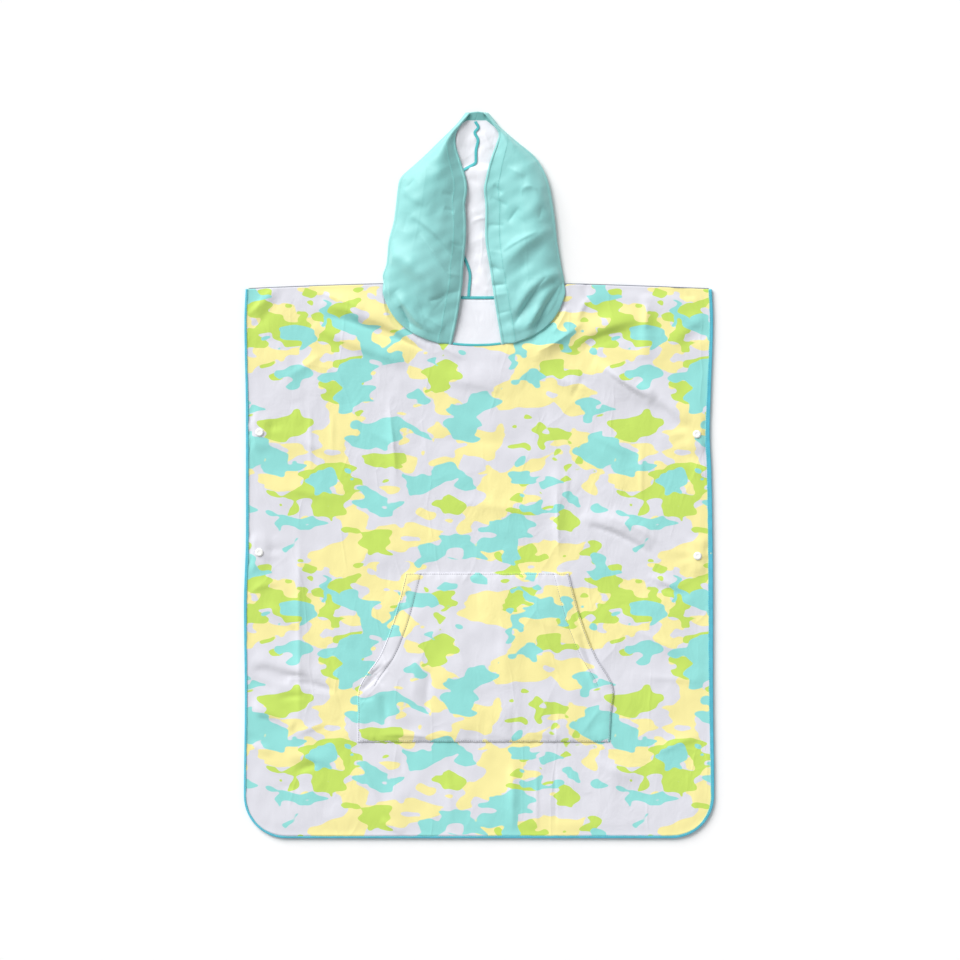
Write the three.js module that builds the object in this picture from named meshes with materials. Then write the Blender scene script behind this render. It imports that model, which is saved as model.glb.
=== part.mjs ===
import * as THREE from "three";

// A child's hooded bath poncho laid flat with its front upwards, in millimetres.
// +X runs to the right, +Y from the hem to the hood and +Z up off the table.
// The origin is on the table, under the middle of the garment.

// Driving dimensions
const LENGTH = 944; // hood rim to hem
const WIDTH = 611; // binding to binding
const CLOTH = 1.2; // one layer of the thin towelling
const SEAM_GAP = 0.3; // clearance between pieces that are sewn together
const BINDING = { width: 6, backHeight: 1.8, frontBase: 2.1, frontHeight: 1.6, crown: 0.3 };
const CORNER_RADIUS = 55; // at the binding's outer edge
const SHOULDER = { neckY: 248, endDrop: 6.5, power: 1.3 };
const NECK = { middle: -2.6, left: 121.5, right: 114.4, frontDepth: 81, backDepth: 18, power: 2.2 };
const FACE_GAP_AT_NECK = { left: -36, right: 30 }; // where the hood's front edges meet the neckline
const FRONT_BASE = 2.8; // top of the front panel where it lies flat on the back one
const EDGE_RISE = { height: 0.85, reach: 8 }; // the front lifts to the middle of its binding
const SNAP = {
  radius: 5.35,
  height: 1.9,
  rim: 0.7,
  shoulder: 0.72, // share of the radius where the dome turns over
  shoulderHeight: 0.86,
  sides: 12,
  flatX: 8.5, // the cloth is flat round a cap as far as this, and level again at reach
  flatY: 13.5,
  reachX: 11,
  reachY: 30,
};
const SNAP_LIFT = 2.3; // how far a cap pushes the cloth off the table
const POCKET = { bulge: 3, fullness: 0.7, clearance: 0.5 };
const TAPE = { width: 4, neckWidth: 3, height: 0.9, frontNeckBase: 1.7 };
const HOOD_SEAM_GAP = 0.9; // the hood's edge along both necklines

const PANEL = {
  half: WIDTH / 2 - BINDING.width - SEAM_GAP,
  hem: -LENGTH / 2 + BINDING.width + SEAM_GAP,
  corner: CORNER_RADIUS - BINDING.width - SEAM_GAP,
};

const SNAPS = [
  { name: "upper_left", x: -285, y: 55.5 },
  { name: "lower_left", x: -285.5, y: -100.6 },
  { name: "upper_right", x: 283, y: 53 },
  { name: "lower_right", x: 284, y: -105.2 },
];

// How far each side edge stands in from the full width, at heights from hem to shoulder
const SIDE_WAVE = [
  { y: -472, left: 0, right: 0 },
  { y: -396, left: 0, right: 0 },
  { y: -292, left: 1.2, right: 1.2 },
  { y: -162, left: 0, right: 1.4 },
  { y: -90, left: 2.4, right: 1.8 },
  { y: 0, left: 2.6, right: 3.4 },
  { y: 54, left: 2.6, right: 5.6 },
  { y: 98, left: 2.4, right: 4.4 },
  { y: 200, left: 0.6, right: 1.4 },
  { y: 248, left: 2.6, right: 3.4 },
];

// The pocket's side edges: slanted hand openings above, straight seams below
const POCKET_SIDES = [
  { y: -347, left: -158, right: 170 },
  { y: -311, left: -157.5, right: 172 },
  { y: -275, left: -155.5, right: 174 },
  { y: -236, left: -130, right: 152 },
  { y: -199, left: -114.5, right: 136.5 },
  { y: -163, left: -104, right: 125.5 },
  { y: -127, left: -95, right: 116 },
];

// The hood lying with its halves folded in: its outline and the front edges of both halves
const HOOD_SHAPE = [
  { y: 169, leftEdge: -36, rightEdge: 30 },
  { y: 209, leftEdge: -27.7, rightEdge: 23.4 },
  { y: 248, leftEdge: -22, rightEdge: 17.3, leftOut: -123, rightOut: 111 },
  { y: 259, leftEdge: -21.4, rightEdge: 16, leftOut: -124.6, rightOut: 109.2 },
  { y: 275, leftEdge: -20.4, rightEdge: 13.4, leftOut: -119.8, rightOut: 106 },
  { y: 304, leftEdge: -17.6, rightEdge: 8.8, leftOut: -117, rightOut: 101.4 },
  { y: 329, leftEdge: -17.2, rightEdge: 8.5, leftOut: -110.5, rightOut: 98.8 },
  { y: 351, leftEdge: -18.3, rightEdge: 8.6, leftOut: -107.6, rightOut: 95.7 },
  { y: 371, leftEdge: -15.8, rightEdge: 6.8, leftOut: -105.3, rightOut: 92.3 },
  { y: 386, leftEdge: -17.5, rightEdge: 9.4, leftOut: -101.4, rightOut: 88.1 },
  { y: 402, leftEdge: -22.4, rightEdge: 13, leftOut: -84.5, rightOut: 80.6 },
  { y: 415, leftEdge: -26.7, rightEdge: 17.2, leftOut: -70.2, rightOut: 70.9 },
  { y: 429, leftEdge: -30.4, rightEdge: 22.3, leftOut: -55.9, rightOut: 54 },
  { y: 443, leftEdge: -30, rightEdge: 26, leftOut: -41.6, rightOut: 37 },
  { y: 452, leftEdge: -25.3, rightEdge: 20.8, leftOut: -31.9, rightOut: 26.6 },
  { y: 461, leftEdge: -18.2, rightEdge: 13.7, leftOut: -24, rightOut: 19.5 },
  { y: 470.5, leftEdge: -11, rightEdge: 5.8, leftOut: -16.9, rightOut: 11.2 },
];

// Height of the folded hood from neckline (share 0) to brow (share 1)
const HOOD_RISE = [
  { share: 0, foldRadius: 0.8, edge: 2.2, bulge: 0 },
  { share: 0.15, foldRadius: 4, edge: 5.5, bulge: 5 },
  { share: 0.35, foldRadius: 6, edge: 9, bulge: 7 },
  { share: 0.6, foldRadius: 6.5, edge: 10.5, bulge: 6 },
  { share: 0.8, foldRadius: 5.5, edge: 9.5, bulge: 4 },
  { share: 0.93, foldRadius: 3, edge: 6, bulge: 0.8 },
  { share: 1, foldRadius: 1.5, edge: 3.8, bulge: 0 },
];

// Where the hood's middle seam lies, from the back neckline to the brow
const HOOD_SEAM = [
  { y: 231, x: -13.6 },
  { y: 241, x: -13 },
  { y: 260, x: -11.7 },
  { y: 271, x: -14.3 },
  { y: 285, x: -20.2 },
  { y: 305, x: -31.2 },
  { y: 331, x: -35.1 },
  { y: 357, x: -33.8 },
  { y: 377, x: -29.9 },
  { y: 390, x: -23.4 },
  { y: 399, x: -13.6 },
  { y: 410, x: -5.2 },
  { y: 422, x: -3.9 },
  { y: 436, x: -1.3 },
  { y: 445, x: -4.8 },
  { y: 452, x: -1.3 },
  { y: 472, x: -1.3 },
];

// Folds: a ridge from one end to the other, its half width and its height
const BODY_FOLDS = [
  { x0: -190, y0: 219, x1: -66, y1: 174, width: 13, height: 4 },
  { x0: -206, y0: 190, x1: -98, y1: 152, width: 12, height: 2.6 },
  { x0: 218, y0: 226, x1: 217, y1: 40, width: 13, height: 3.4 },
  { x0: 70, y0: 152, x1: 205, y1: 192, width: 15, height: 3 },
  { x0: 158, y0: 138, x1: 232, y1: 92, width: 12, height: 4.2 },
  { x0: 212, y0: 106, x1: 272, y1: 64, width: 11, height: 3 },
  { x0: 140, y0: -68, x1: 226, y1: -100, width: 12, height: 3.2 },
  { x0: -236, y0: -62, x1: -233, y1: -335, width: 12, height: 2.8 },
  { x0: -293, y0: -250, x1: -170, y1: -284, width: 12, height: 3.6 },
  { x0: -296, y0: -300, x1: -238, y1: -330, width: 11, height: 3 },
  { x0: 146, y0: -372, x1: 204, y1: -396, width: 12, height: 2.6 },
  { x0: -116, y0: 104, x1: -106, y1: -18, width: 11, height: 2.4 },
  { x0: 108, y0: 22, x1: 112, y1: -116, width: 12, height: 2.4 },
  { x0: 44, y0: -352, x1: 44, y1: -462, width: 12, height: 2.6 },
];
// Where the body's folds die away: under the pocket, below the top edge and along the other edges
const POCKET_CLEAR = { left: -172, right: 188, low: -360, high: -114, fade: 26 };
const FOLD_CLEAR = { top: 40, rim: 18 };

const HOOD_FOLDS = [
  { x0: -92, y0: 347, x1: -46, y1: 318, width: 8, height: 3 },
  { x0: -80, y0: 332, x1: -34, y1: 284, width: 7, height: 3.4 },
  { x0: -124, y0: 291, x1: -56, y1: 250, width: 10, height: 4 },
  { x0: -96, y0: 226, x1: -50, y1: 196, width: 9, height: 2.6 },
  { x0: 28, y0: 284, x1: 78, y1: 322, width: 9, height: 4.2 },
  { x0: 52, y0: 236, x1: 92, y1: 282, width: 10, height: 4.4 },
  { x0: 60, y0: 190, x1: 104, y1: 250, width: 9, height: 2.8 },
  { x0: 30, y0: 344, x1: 56, y1: 366, width: 8, height: 2.6 },
];

// The fold that the hood's back makes across the face opening, steeper on its brow side
const BACK_FOLD = { x: -2, y: 397, halfWidth: 34, browSide: 7, neckSide: 22, height: 5 };

// Rows and columns of the grids
const PANEL_COLUMNS = { side: 6, neck: 6, middle: 3, otherSide: 7, snap: [281, 293] };
const CORNER_ANGLES = [22.5, 45, 67.5, 90];
const LEVEL_BAND = { low: -412, high: 146 };
const SNAP_ROWS = { lower: -103, upper: 54.3, half: 10.5 };
const FRONT_ROWS = { low: 13, mid: 5, top: 3, hem: 3, shoulder: 5 };
const BACK_ROWS = { low: 4, mid: 1, top: 1, hem: 1, shoulder: 2 };
const POCKET_GRID = { rows: 12, columns: 14 };
const HOOD_GRID = { rows: 20, crowding: 1.15, topPerNeck: 2, under: 8, foldAngles: [45, 0, -45] };

// Colours
const TURQUOISE = 0xa2e4dc;
const LILAC_GREY = 0xe2dfeb;
const BINDING_BLUE = 0x3fb4cc;
const TAPE_BLUE = 0x58bcc4;
const SNAP_WHITE = 0xf4f4f2;
const ROUGHNESS = { towelling: 0.85, tape: 0.7, plastic: 0.35 };

// Plain helpers

const clamp01 = (value) => Math.min(1, Math.max(0, value));

const mix = (from, to, share) => from + (to - from) * share;

const steps = (from, to, count) =>
  Array.from({ length: count + 1 }, (_, k) => mix(from, to, k / count));

// 1 up to `flat`, then a half cosine down to 0 at `reach`.
function plateau(distance, flat, reach) {
  const share = clamp01((Math.abs(distance) - flat) / (reach - flat));
  return 0.5 + 0.5 * Math.cos(Math.PI * share);
}

// One column of a table read at a place between its rows, with smooth slopes from row to row.
function readTable(table, key, column, at) {
  const rows = table.filter((row) => row[column] !== undefined);
  const last = rows.length - 1;
  let k = 0;
  while (k < last - 1 && at > rows[k + 1][key]) k += 1;
  const slope = (i) => {
    const low = rows[Math.max(0, i - 1)];
    const high = rows[Math.min(last, i + 1)];
    return (high[column] - low[column]) / (high[key] - low[key]);
  };
  const span = rows[k + 1][key] - rows[k][key];
  const t = clamp01((at - rows[k][key]) / span);
  const start = (1 + 2 * t) * (1 - t) * (1 - t) * rows[k][column];
  const end = t * t * (3 - 2 * t) * rows[k + 1][column];
  return start + end + span * t * (1 - t) * ((1 - t) * slope(k) - t * slope(k + 1));
}

// The height that a table of folds adds at one place: each is a Gaussian across, tapered to its ends.
function foldHeight(folds, x, y) {
  return folds.reduce((sum, fold) => {
    const along = { x: fold.x1 - fold.x0, y: fold.y1 - fold.y0 };
    const length = Math.hypot(along.x, along.y);
    const t = ((x - fold.x0) * along.x + (y - fold.y0) * along.y) / (length * length);
    if (t <= 0 || t >= 1) return sum;
    const across = ((x - fold.x0) * along.y - (y - fold.y0) * along.x) / length;
    const taper = Math.sin(Math.PI * t);
    return sum + fold.height * taper * Math.exp(-((across / fold.width) ** 2));
  }, 0);
}

// Solids from grids of points

function signedVolume(points, triangles) {
  let volume = 0;
  for (let k = 0; k < triangles.length; k += 3) {
    const [a, b, c] = [points[triangles[k]], points[triangles[k + 1]], points[triangles[k + 2]]];
    volume += a.dot(new THREE.Vector3().crossVectors(b, c)) / 6;
  }
  return volume;
}

// A closed wall between two grids of points with the same rows and columns.
function wallBetween(outer, inner) {
  const lastRow = outer.length - 1;
  const lastColumn = outer[0].length - 1;
  const points = [...outer.flat(), ...inner.flat()];
  const over = (r, c) => r * (lastColumn + 1) + c;
  const under = (r, c) => (lastRow + 1) * (lastColumn + 1) + over(r, c);
  const triangles = [];
  const quad = (a, b, c, d) => triangles.push(a, b, c, a, c, d);
  for (let r = 0; r < lastRow; r += 1) {
    for (let c = 0; c < lastColumn; c += 1) {
      quad(over(r, c), over(r, c + 1), over(r + 1, c + 1), over(r + 1, c));
      quad(under(r, c), under(r + 1, c), under(r + 1, c + 1), under(r, c + 1));
    }
    quad(over(r, 0), over(r + 1, 0), under(r + 1, 0), under(r, 0));
    quad(under(r, lastColumn), under(r + 1, lastColumn), over(r + 1, lastColumn), over(r, lastColumn));
  }
  for (let c = 0; c < lastColumn; c += 1) {
    quad(under(0, c), under(0, c + 1), over(0, c + 1), over(0, c));
    quad(over(lastRow, c), over(lastRow, c + 1), under(lastRow, c + 1), under(lastRow, c));
  }
  if (signedVolume(points, triangles) < 0) triangles.reverse();
  const geometry = new THREE.BufferGeometry().setFromPoints(points);
  geometry.setIndex(triangles);
  geometry.computeVertexNormals();
  return geometry;
}

// A layer of cloth of even height under a grid of points.
const layerUnder = (top, thickness) =>
  wallBetween(
    top,
    top.map((row) => row.map((p) => new THREE.Vector3(p.x, p.y, p.z - thickness))),
  );

// A layer of cloth of even thickness round a middle surface that may curl over.
function layerRound(middle, thickness) {
  const at = (r, c) =>
    middle[Math.min(middle.length - 1, Math.max(0, r))][Math.min(middle[0].length - 1, Math.max(0, c))];
  const shifted = (side) =>
    middle.map((row, r) =>
      row.map((p, c) => {
        const along = new THREE.Vector3().subVectors(at(r + 1, c), at(r - 1, c));
        const across = new THREE.Vector3().subVectors(at(r, c + 1), at(r, c - 1));
        const normal = new THREE.Vector3().crossVectors(across, along).normalize();
        const moved = p.clone().addScaledVector(normal, (side * thickness) / 2);
        moved.z = Math.max(0, moved.z);
        return moved;
      }),
    );
  return wallBetween(shifted(1), shifted(-1));
}

function piece(name, geometry, color, roughness = ROUGHNESS.towelling) {
  const mesh = new THREE.Mesh(
    geometry,
    new THREE.MeshStandardMaterial({ color, roughness, metalness: 0 }),
  );
  mesh.name = name;
  return mesh;
}

// Body outline

// The share of the depth that a neckline has reached at x: a superellipse, 0 at the shoulders.
function neckShare(x) {
  const reach = x < NECK.middle ? NECK.left : NECK.right;
  const across = Math.min(1, Math.abs(x - NECK.middle) / reach);
  return (1 - across ** NECK.power) ** (1 / NECK.power);
}

// Top edge of a panel: the shoulder line, or the neckline between its ends.
function topEdge(x, neckDepth) {
  const neckEnd = x < NECK.middle ? NECK.left : NECK.right;
  const beyond = Math.abs(x - NECK.middle) - neckEnd;
  if (beyond < 0) return SHOULDER.neckY - neckDepth * neckShare(x);
  return SHOULDER.neckY - SHOULDER.endDrop * (beyond / (PANEL.half - neckEnd)) ** SHOULDER.power;
}

// Bottom edge of a panel: the hem, with an arc round each corner.
function hemEdge(x) {
  const into = Math.max(0, Math.abs(x) - (PANEL.half - PANEL.corner));
  return PANEL.hem + PANEL.corner - Math.sqrt(Math.max(0, PANEL.corner ** 2 - into ** 2));
}

// Columns, closer together at the corners, the snaps and the ends of the neckline
function neckColumns(from, towards, count) {
  const reach = towards - NECK.middle;
  const startAngle = Math.acos(clamp01(((from - NECK.middle) / reach) ** (NECK.power / 2)));
  return steps(startAngle, 0, count).map(
    (angle) => NECK.middle + reach * Math.cos(angle) ** (2 / NECK.power),
  );
}
const NECK_ENDS = { left: NECK.middle - NECK.left, right: NECK.middle + NECK.right };
const NECK_COLUMNS = {
  left: neckColumns(FACE_GAP_AT_NECK.left, NECK_ENDS.left, PANEL_COLUMNS.neck),
  right: neckColumns(FACE_GAP_AT_NECK.right, NECK_ENDS.right, PANEL_COLUMNS.neck),
};
const CORNER_COLUMNS = CORNER_ANGLES.map(
  (degrees) => PANEL.half - PANEL.corner * (1 - Math.cos(THREE.MathUtils.degToRad(degrees))),
);
const OUTER_COLUMNS = [PANEL.half, ...CORNER_COLUMNS, ...PANEL_COLUMNS.snap];
const SIDE_START = PANEL.half - PANEL.corner;
const COLUMNS = [
  ...OUTER_COLUMNS.map((x) => -x),
  ...steps(-SIDE_START, NECK_ENDS.left, PANEL_COLUMNS.side),
  ...NECK_COLUMNS.left,
  ...steps(FACE_GAP_AT_NECK.left, FACE_GAP_AT_NECK.right, PANEL_COLUMNS.middle),
  ...NECK_COLUMNS.right,
  ...steps(NECK_ENDS.right, SIDE_START, PANEL_COLUMNS.otherSide),
  ...OUTER_COLUMNS,
]
  .sort((a, b) => a - b)
  .filter((x, k, all) => k === 0 || x - all[k - 1] > 0.01);

// How far a point moves in where the side edge stands in from the full width.
function sideInset(x, y) {
  const wave = readTable(SIDE_WAVE, "y", x < 0 ? "left" : "right", y);
  return wave * Math.abs(x / PANEL.half) ** 3 * Math.sign(x);
}

// Level rows: each pair of snaps gets two rows on either side.
function levelRows(count) {
  const around = (middle) =>
    [-SNAP.reachY, -SNAP_ROWS.half, SNAP_ROWS.half, SNAP.reachY].map((offset) => middle + offset);
  const lower = around(SNAP_ROWS.lower);
  const upper = around(SNAP_ROWS.upper);
  return [
    ...steps(LEVEL_BAND.low, lower[0], count.low).slice(0, -1),
    ...lower,
    ...steps(lower[3], upper[0], count.mid).slice(1, -1),
    ...upper,
    ...steps(upper[3], LEVEL_BAND.high, count.top).slice(1),
  ];
}

// A panel's points. Rows are level in the band, and fan out from it to the hem and the top edge.
function panelPoints(count, neckDepth, height) {
  const levels = levelRows(count);
  const rowsOf = (x) => [
    ...steps(hemEdge(x), LEVEL_BAND.low, count.hem).slice(0, -1),
    ...levels,
    ...steps(LEVEL_BAND.high, topEdge(x, neckDepth), count.shoulder).slice(1),
  ];
  const columns = COLUMNS.map((x) =>
    rowsOf(x).map((y) => new THREE.Vector3(x - sideInset(x, y), y, height(x, y))),
  );
  return columns[0].map((_, r) => columns.map((column) => column[r]));
}

// 1 over each snap, falling to 0 round it. Here x is a place on the panel before its sides stand in.
function snapPlateau(x, y) {
  const nearness = SNAPS.map((snap) => {
    const fromSnap = x - snap.x - sideInset(snap.x, snap.y);
    return plateau(fromSnap, SNAP.flatX, SNAP.reachX) * plateau(y - snap.y, SNAP.flatY, SNAP.reachY);
  });
  return Math.max(...nearness);
}

// 0 under the pocket, which has its own bulge, rising to 1 outside it.
function clearOfPocket(x, y) {
  const outside = Math.max(
    POCKET_CLEAR.left - x,
    x - POCKET_CLEAR.right,
    POCKET_CLEAR.low - y,
    y - POCKET_CLEAR.high,
  );
  return clamp01(outside / POCKET_CLEAR.fade);
}

function frontHeight(x, y) {
  const fromEdge = Math.min(PANEL.half - Math.abs(x), y - hemEdge(x));
  const fromTop = topEdge(x, NECK.frontDepth) - y;
  const nearSnap = snapPlateau(x, y);
  const edgeRise = EDGE_RISE.height * Math.max(0, 1 - fromEdge / EDGE_RISE.reach);
  const clear =
    clearOfPocket(x, y) *
    (1 - nearSnap) *
    clamp01(fromEdge / FOLD_CLEAR.rim) *
    (1 - plateau(clamp01(fromTop / FOLD_CLEAR.top), 0, 1));
  return FRONT_BASE + Math.max(edgeRise, SNAP_LIFT * nearSnap) + clear * foldHeight(BODY_FOLDS, x, y);
}

const backHeight = (x, y) => CLOTH + SNAP_LIFT * snapPlateau(x, y);

const frontTop = panelPoints(FRONT_ROWS, NECK.frontDepth, frontHeight);
const backTop = panelPoints(BACK_ROWS, NECK.backDepth, backHeight);

// Binding: a crowned strip just outside a panel's edge points

function bindingStrip(edge, base, height) {
  const last = edge.length - 1;
  const rows = edge.map((p, k) => {
    const next = edge[Math.min(last, k + 1)];
    const before = edge[Math.max(0, k - 1)];
    const along = new THREE.Vector2(next.x - before.x, next.y - before.y).normalize();
    const out = new THREE.Vector2(along.y, -along.x);
    const trim = (k === 0 ? 1 : 0) - (k === last ? 1 : 0);
    const offsets = [
      { out: SEAM_GAP, crown: 0 },
      { out: SEAM_GAP + BINDING.width / 2, crown: BINDING.crown },
      { out: SEAM_GAP + BINDING.width, crown: 0 },
    ];
    return offsets.map(
      (offset) =>
        new THREE.Vector3(
          p.x + out.x * offset.out + (along.x * trim * SEAM_GAP) / 2,
          p.y + out.y * offset.out + (along.y * trim * SEAM_GAP) / 2,
          base + height + offset.crown,
        ),
    );
  });
  const floor = rows.map((row) => row.map((p) => new THREE.Vector3(p.x, p.y, base)));
  return wallBetween(rows, floor);
}

// The edge runs anticlockwise: down the left side, along the hem and up the right side.
function bindingsOf(panel, name, base, height) {
  const left = panel.map((row) => row[0]).reverse();
  const right = panel.map((row) => row[row.length - 1]);
  const pieces = { left, hem: panel[0], right };
  return Object.entries(pieces).map(([side, edge]) =>
    piece(`binding_${name}_${side}`, bindingStrip(edge, base, height), BINDING_BLUE, ROUGHNESS.tape),
  );
}

// Snaps: a domed cap above the front and one below the back

function snapCap(snap, side) {
  const dome = [
    new THREE.Vector2(0, 0),
    new THREE.Vector2(SNAP.radius, 0),
    new THREE.Vector2(SNAP.radius, SNAP.rim),
    new THREE.Vector2(SNAP.radius * SNAP.shoulder, SNAP.height * SNAP.shoulderHeight),
    new THREE.Vector2(0, SNAP.height),
  ];
  const geometry = new THREE.LatheGeometry(dome, SNAP.sides).rotateX(Math.PI / 2);
  const mesh = piece(`snap_${side}_${snap.name}`, geometry, SNAP_WHITE, ROUGHNESS.plastic);
  if (side === "back") {
    mesh.rotation.x = Math.PI;
    mesh.position.set(snap.x, snap.y, SNAP_LIFT - SEAM_GAP);
  } else {
    mesh.position.set(snap.x, snap.y, FRONT_BASE + SNAP_LIFT + SEAM_GAP);
  }
  return mesh;
}

// Pocket: the front panel's surface moved out, bulging between its seams

function pocketTop() {
  const lowY = POCKET_SIDES[0].y;
  const highY = POCKET_SIDES[POCKET_SIDES.length - 1].y;
  return steps(0, 1, POCKET_GRID.rows).map((up) => {
    const y = mix(lowY, highY, up);
    const left = readTable(POCKET_SIDES, "y", "left", y);
    const right = readTable(POCKET_SIDES, "y", "right", y);
    return steps(0, 1, POCKET_GRID.columns).map((across) => {
      const x = mix(left, right, across);
      const inside = clamp01(Math.sin(Math.PI * across) * Math.sin(Math.PI * up));
      const bulge = POCKET.bulge * inside ** POCKET.fullness;
      return new THREE.Vector3(x, y, frontHeight(x, y) + POCKET.clearance + CLOTH + bulge);
    });
  });
}

// Hood

const riseAt = (column, share) => readTable(HOOD_RISE, "share", column, share);
const HOOD_TOP = { edge: HOOD_SHAPE[HOOD_SHAPE.length - 1].y, rim: LENGTH / 2 };
const CORNER_PULL = 6; // how sharply the hood's lower edge runs up to the corner at the shoulder
const FOLD_FADE = 0.2; // share of the hood over which its folds fade out at the neck and the side

// A four-sided patch filled in between its sides, start and end (Coons), in plan.
function patch(sideA, sideB, start, end, across, along) {
  const sum = new THREE.Vector2();
  sum.addScaledVector(sideA(along), 1 - across);
  sum.addScaledVector(sideB(along), across);
  sum.addScaledVector(start(across), 1 - along);
  sum.addScaledVector(end(across), along);
  sum.addScaledVector(sideA(0), -(1 - across) * (1 - along));
  sum.addScaledVector(sideB(0), -across * (1 - along));
  sum.addScaledVector(sideA(1), -(1 - across) * along);
  sum.addScaledVector(sideB(1), -across * along);
  return sum;
}

function underHeight(x, y) {
  const up = y - BACK_FOLD.y;
  const width = up > 0 ? BACK_FOLD.browSide : BACK_FOLD.neckSide;
  const along = plateau(x - BACK_FOLD.x, BACK_FOLD.halfWidth * 0.5, BACK_FOLD.halfWidth);
  return CLOTH / 2 + BACK_FOLD.height * along * Math.exp(-((up / width) ** 2));
}

// One half of the hood: front edge, top layer, side fold, under layer, middle seam.
function hoodHalf(side) {
  const inward = side === "left" ? 1 : -1;
  const neckX = NECK_COLUMNS[side];
  const outline = (along) => {
    const y = mix(SHOULDER.neckY + HOOD_SEAM_GAP, HOOD_TOP.edge, along);
    return new THREE.Vector2(readTable(HOOD_SHAPE, "y", `${side}Out`, y), y);
  };
  const fold = (along) => {
    const p = outline(along);
    return new THREE.Vector2(p.x + inward * riseAt("foldRadius", along), p.y);
  };
  const edge = (along) => {
    const lowest = topEdge(neckX[0], NECK.frontDepth) + HOOD_SEAM_GAP;
    const y = mix(lowest, HOOD_TOP.edge, along);
    return new THREE.Vector2(readTable(HOOD_SHAPE, "y", `${side}Edge`, y), y);
  };
  const seam = (along) => {
    const y = mix(SHOULDER.neckY - NECK.backDepth + HOOD_SEAM_GAP, HOOD_TOP.rim, along);
    return new THREE.Vector2(readTable(HOOD_SEAM, "y", "x", y) - (inward * SEAM_GAP) / 2, y);
  };
  const straight = (from, to) => (across) => from.clone().lerp(to, across);
  const lastNeck = neckX.length - 1;
  const aboveNeck = (x, depth, nearFold) => {
    const y = topEdge(x, depth) + HOOD_SEAM_GAP;
    return new THREE.Vector2(x, mix(y, fold(0).y, nearFold ** CORNER_PULL));
  };
  const frontNeck = (across) => {
    const k = Math.min(lastNeck - 1, Math.floor(across * lastNeck));
    const x = mix(neckX[k], neckX[k + 1], across * lastNeck - k);
    const inset = mix(edge(0).x - neckX[0], fold(0).x - neckX[lastNeck], across);
    return aboveNeck(x + inset, NECK.frontDepth, across);
  };
  const backNeck = (across) => aboveNeck(mix(fold(0).x, seam(0).x, across), NECK.backDepth, 1 - across);
  const rows = steps(0, 1, HOOD_GRID.rows).map((along) => along ** HOOD_GRID.crowding);
  const middle = rows.map((along) => {
    const radius = riseAt("foldRadius", along);
    const topOfFold = CLOTH / 2 + 2 * radius;
    const topRow = steps(0, 1, HOOD_GRID.topPerNeck * lastNeck).map((across) => {
      const p = patch(edge, fold, frontNeck, straight(edge(1), fold(1)), across, along);
      const level = mix(riseAt("edge", along), topOfFold, across);
      const bulge = riseAt("bulge", along) * Math.sin(Math.PI * across);
      const fade = clamp01(along / FOLD_FADE) * clamp01((1 - across) / FOLD_FADE);
      return new THREE.Vector3(p.x, p.y, level + bulge + fade * foldHeight(HOOD_FOLDS, p.x, p.y));
    });
    const foldRow = HOOD_GRID.foldAngles.map((degrees) => {
      const angle = THREE.MathUtils.degToRad(degrees);
      const p = outline(along);
      const x = p.x + inward * radius * (1 - Math.cos(angle));
      return new THREE.Vector3(x, p.y, CLOTH / 2 + radius + radius * Math.sin(angle));
    });
    const underRow = steps(0, 1, HOOD_GRID.under).map((across) => {
      const p = patch(fold, seam, backNeck, straight(fold(1), seam(1)), across, along);
      return new THREE.Vector3(p.x, p.y, underHeight(p.x, p.y));
    });
    return [...topRow, ...foldRow, ...underRow];
  });
  return layerRound(middle, CLOTH);
}

// Tapes: flat strips on the cloth along the hood's seam and the necklines

function tapeStrip(route, width, bottom) {
  const last = route.length - 1;
  const rows = route.map((p, k) => {
    const next = route[Math.min(last, k + 1)];
    const before = route[Math.max(0, k - 1)];
    const along = new THREE.Vector2().subVectors(next, before).normalize();
    return [-0.5, 0.5].map((side) => {
      const x = p.x + along.y * side * width;
      const y = p.y - along.x * side * width;
      return new THREE.Vector3(x, y, bottom(x, y) + TAPE.height);
    });
  });
  return layerUnder(rows, TAPE.height);
}

// The seam shows above the fold across the opening and again near the neck; between them it is hidden.
const SEAM_TAPES = {
  upper: { from: 463, to: 416, count: 12 },
  lower: { from: 318, to: 237, count: 14 },
};
const BACK_NECK_TAPE = { from: -90, to: 80, count: 16 };
const FRONT_NECK_TAPE = { endGap: 1.5, fromEdge: 1.9, count: 4 };
const onUnderLayer = (x, y) => underHeight(x, y) + CLOTH / 2 + SEAM_GAP;

function seamTape(stretch) {
  const { from, to, count } = SEAM_TAPES[stretch];
  const route = steps(from, to, count).map(
    (y) => new THREE.Vector2(readTable(HOOD_SEAM, "y", "x", y), y),
  );
  const geometry = tapeStrip(route, TAPE.width, onUnderLayer);
  return piece(`hood_seam_tape_${stretch}`, geometry, TAPE_BLUE, ROUGHNESS.tape);
}

function backNeckTape() {
  const { from, to, count } = BACK_NECK_TAPE;
  const route = steps(from, to, count).map(
    (x) => new THREE.Vector2(x, topEdge(x, NECK.backDepth) + HOOD_SEAM_GAP / 2),
  );
  const geometry = tapeStrip(route, TAPE.width, () => CLOTH + SEAM_GAP);
  return piece("back_neck_tape", geometry, TAPE_BLUE, ROUGHNESS.tape);
}

function frontNeckTape() {
  const { endGap, fromEdge, count } = FRONT_NECK_TAPE;
  const route = steps(FACE_GAP_AT_NECK.left + endGap, FACE_GAP_AT_NECK.right - endGap, count).map(
    (x) => new THREE.Vector2(x, topEdge(x, NECK.frontDepth) + fromEdge),
  );
  const geometry = tapeStrip(route, TAPE.neckWidth, () => TAPE.frontNeckBase);
  return piece("front_neck_tape", geometry, TAPE_BLUE, ROUGHNESS.tape);
}

// The garment

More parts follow.
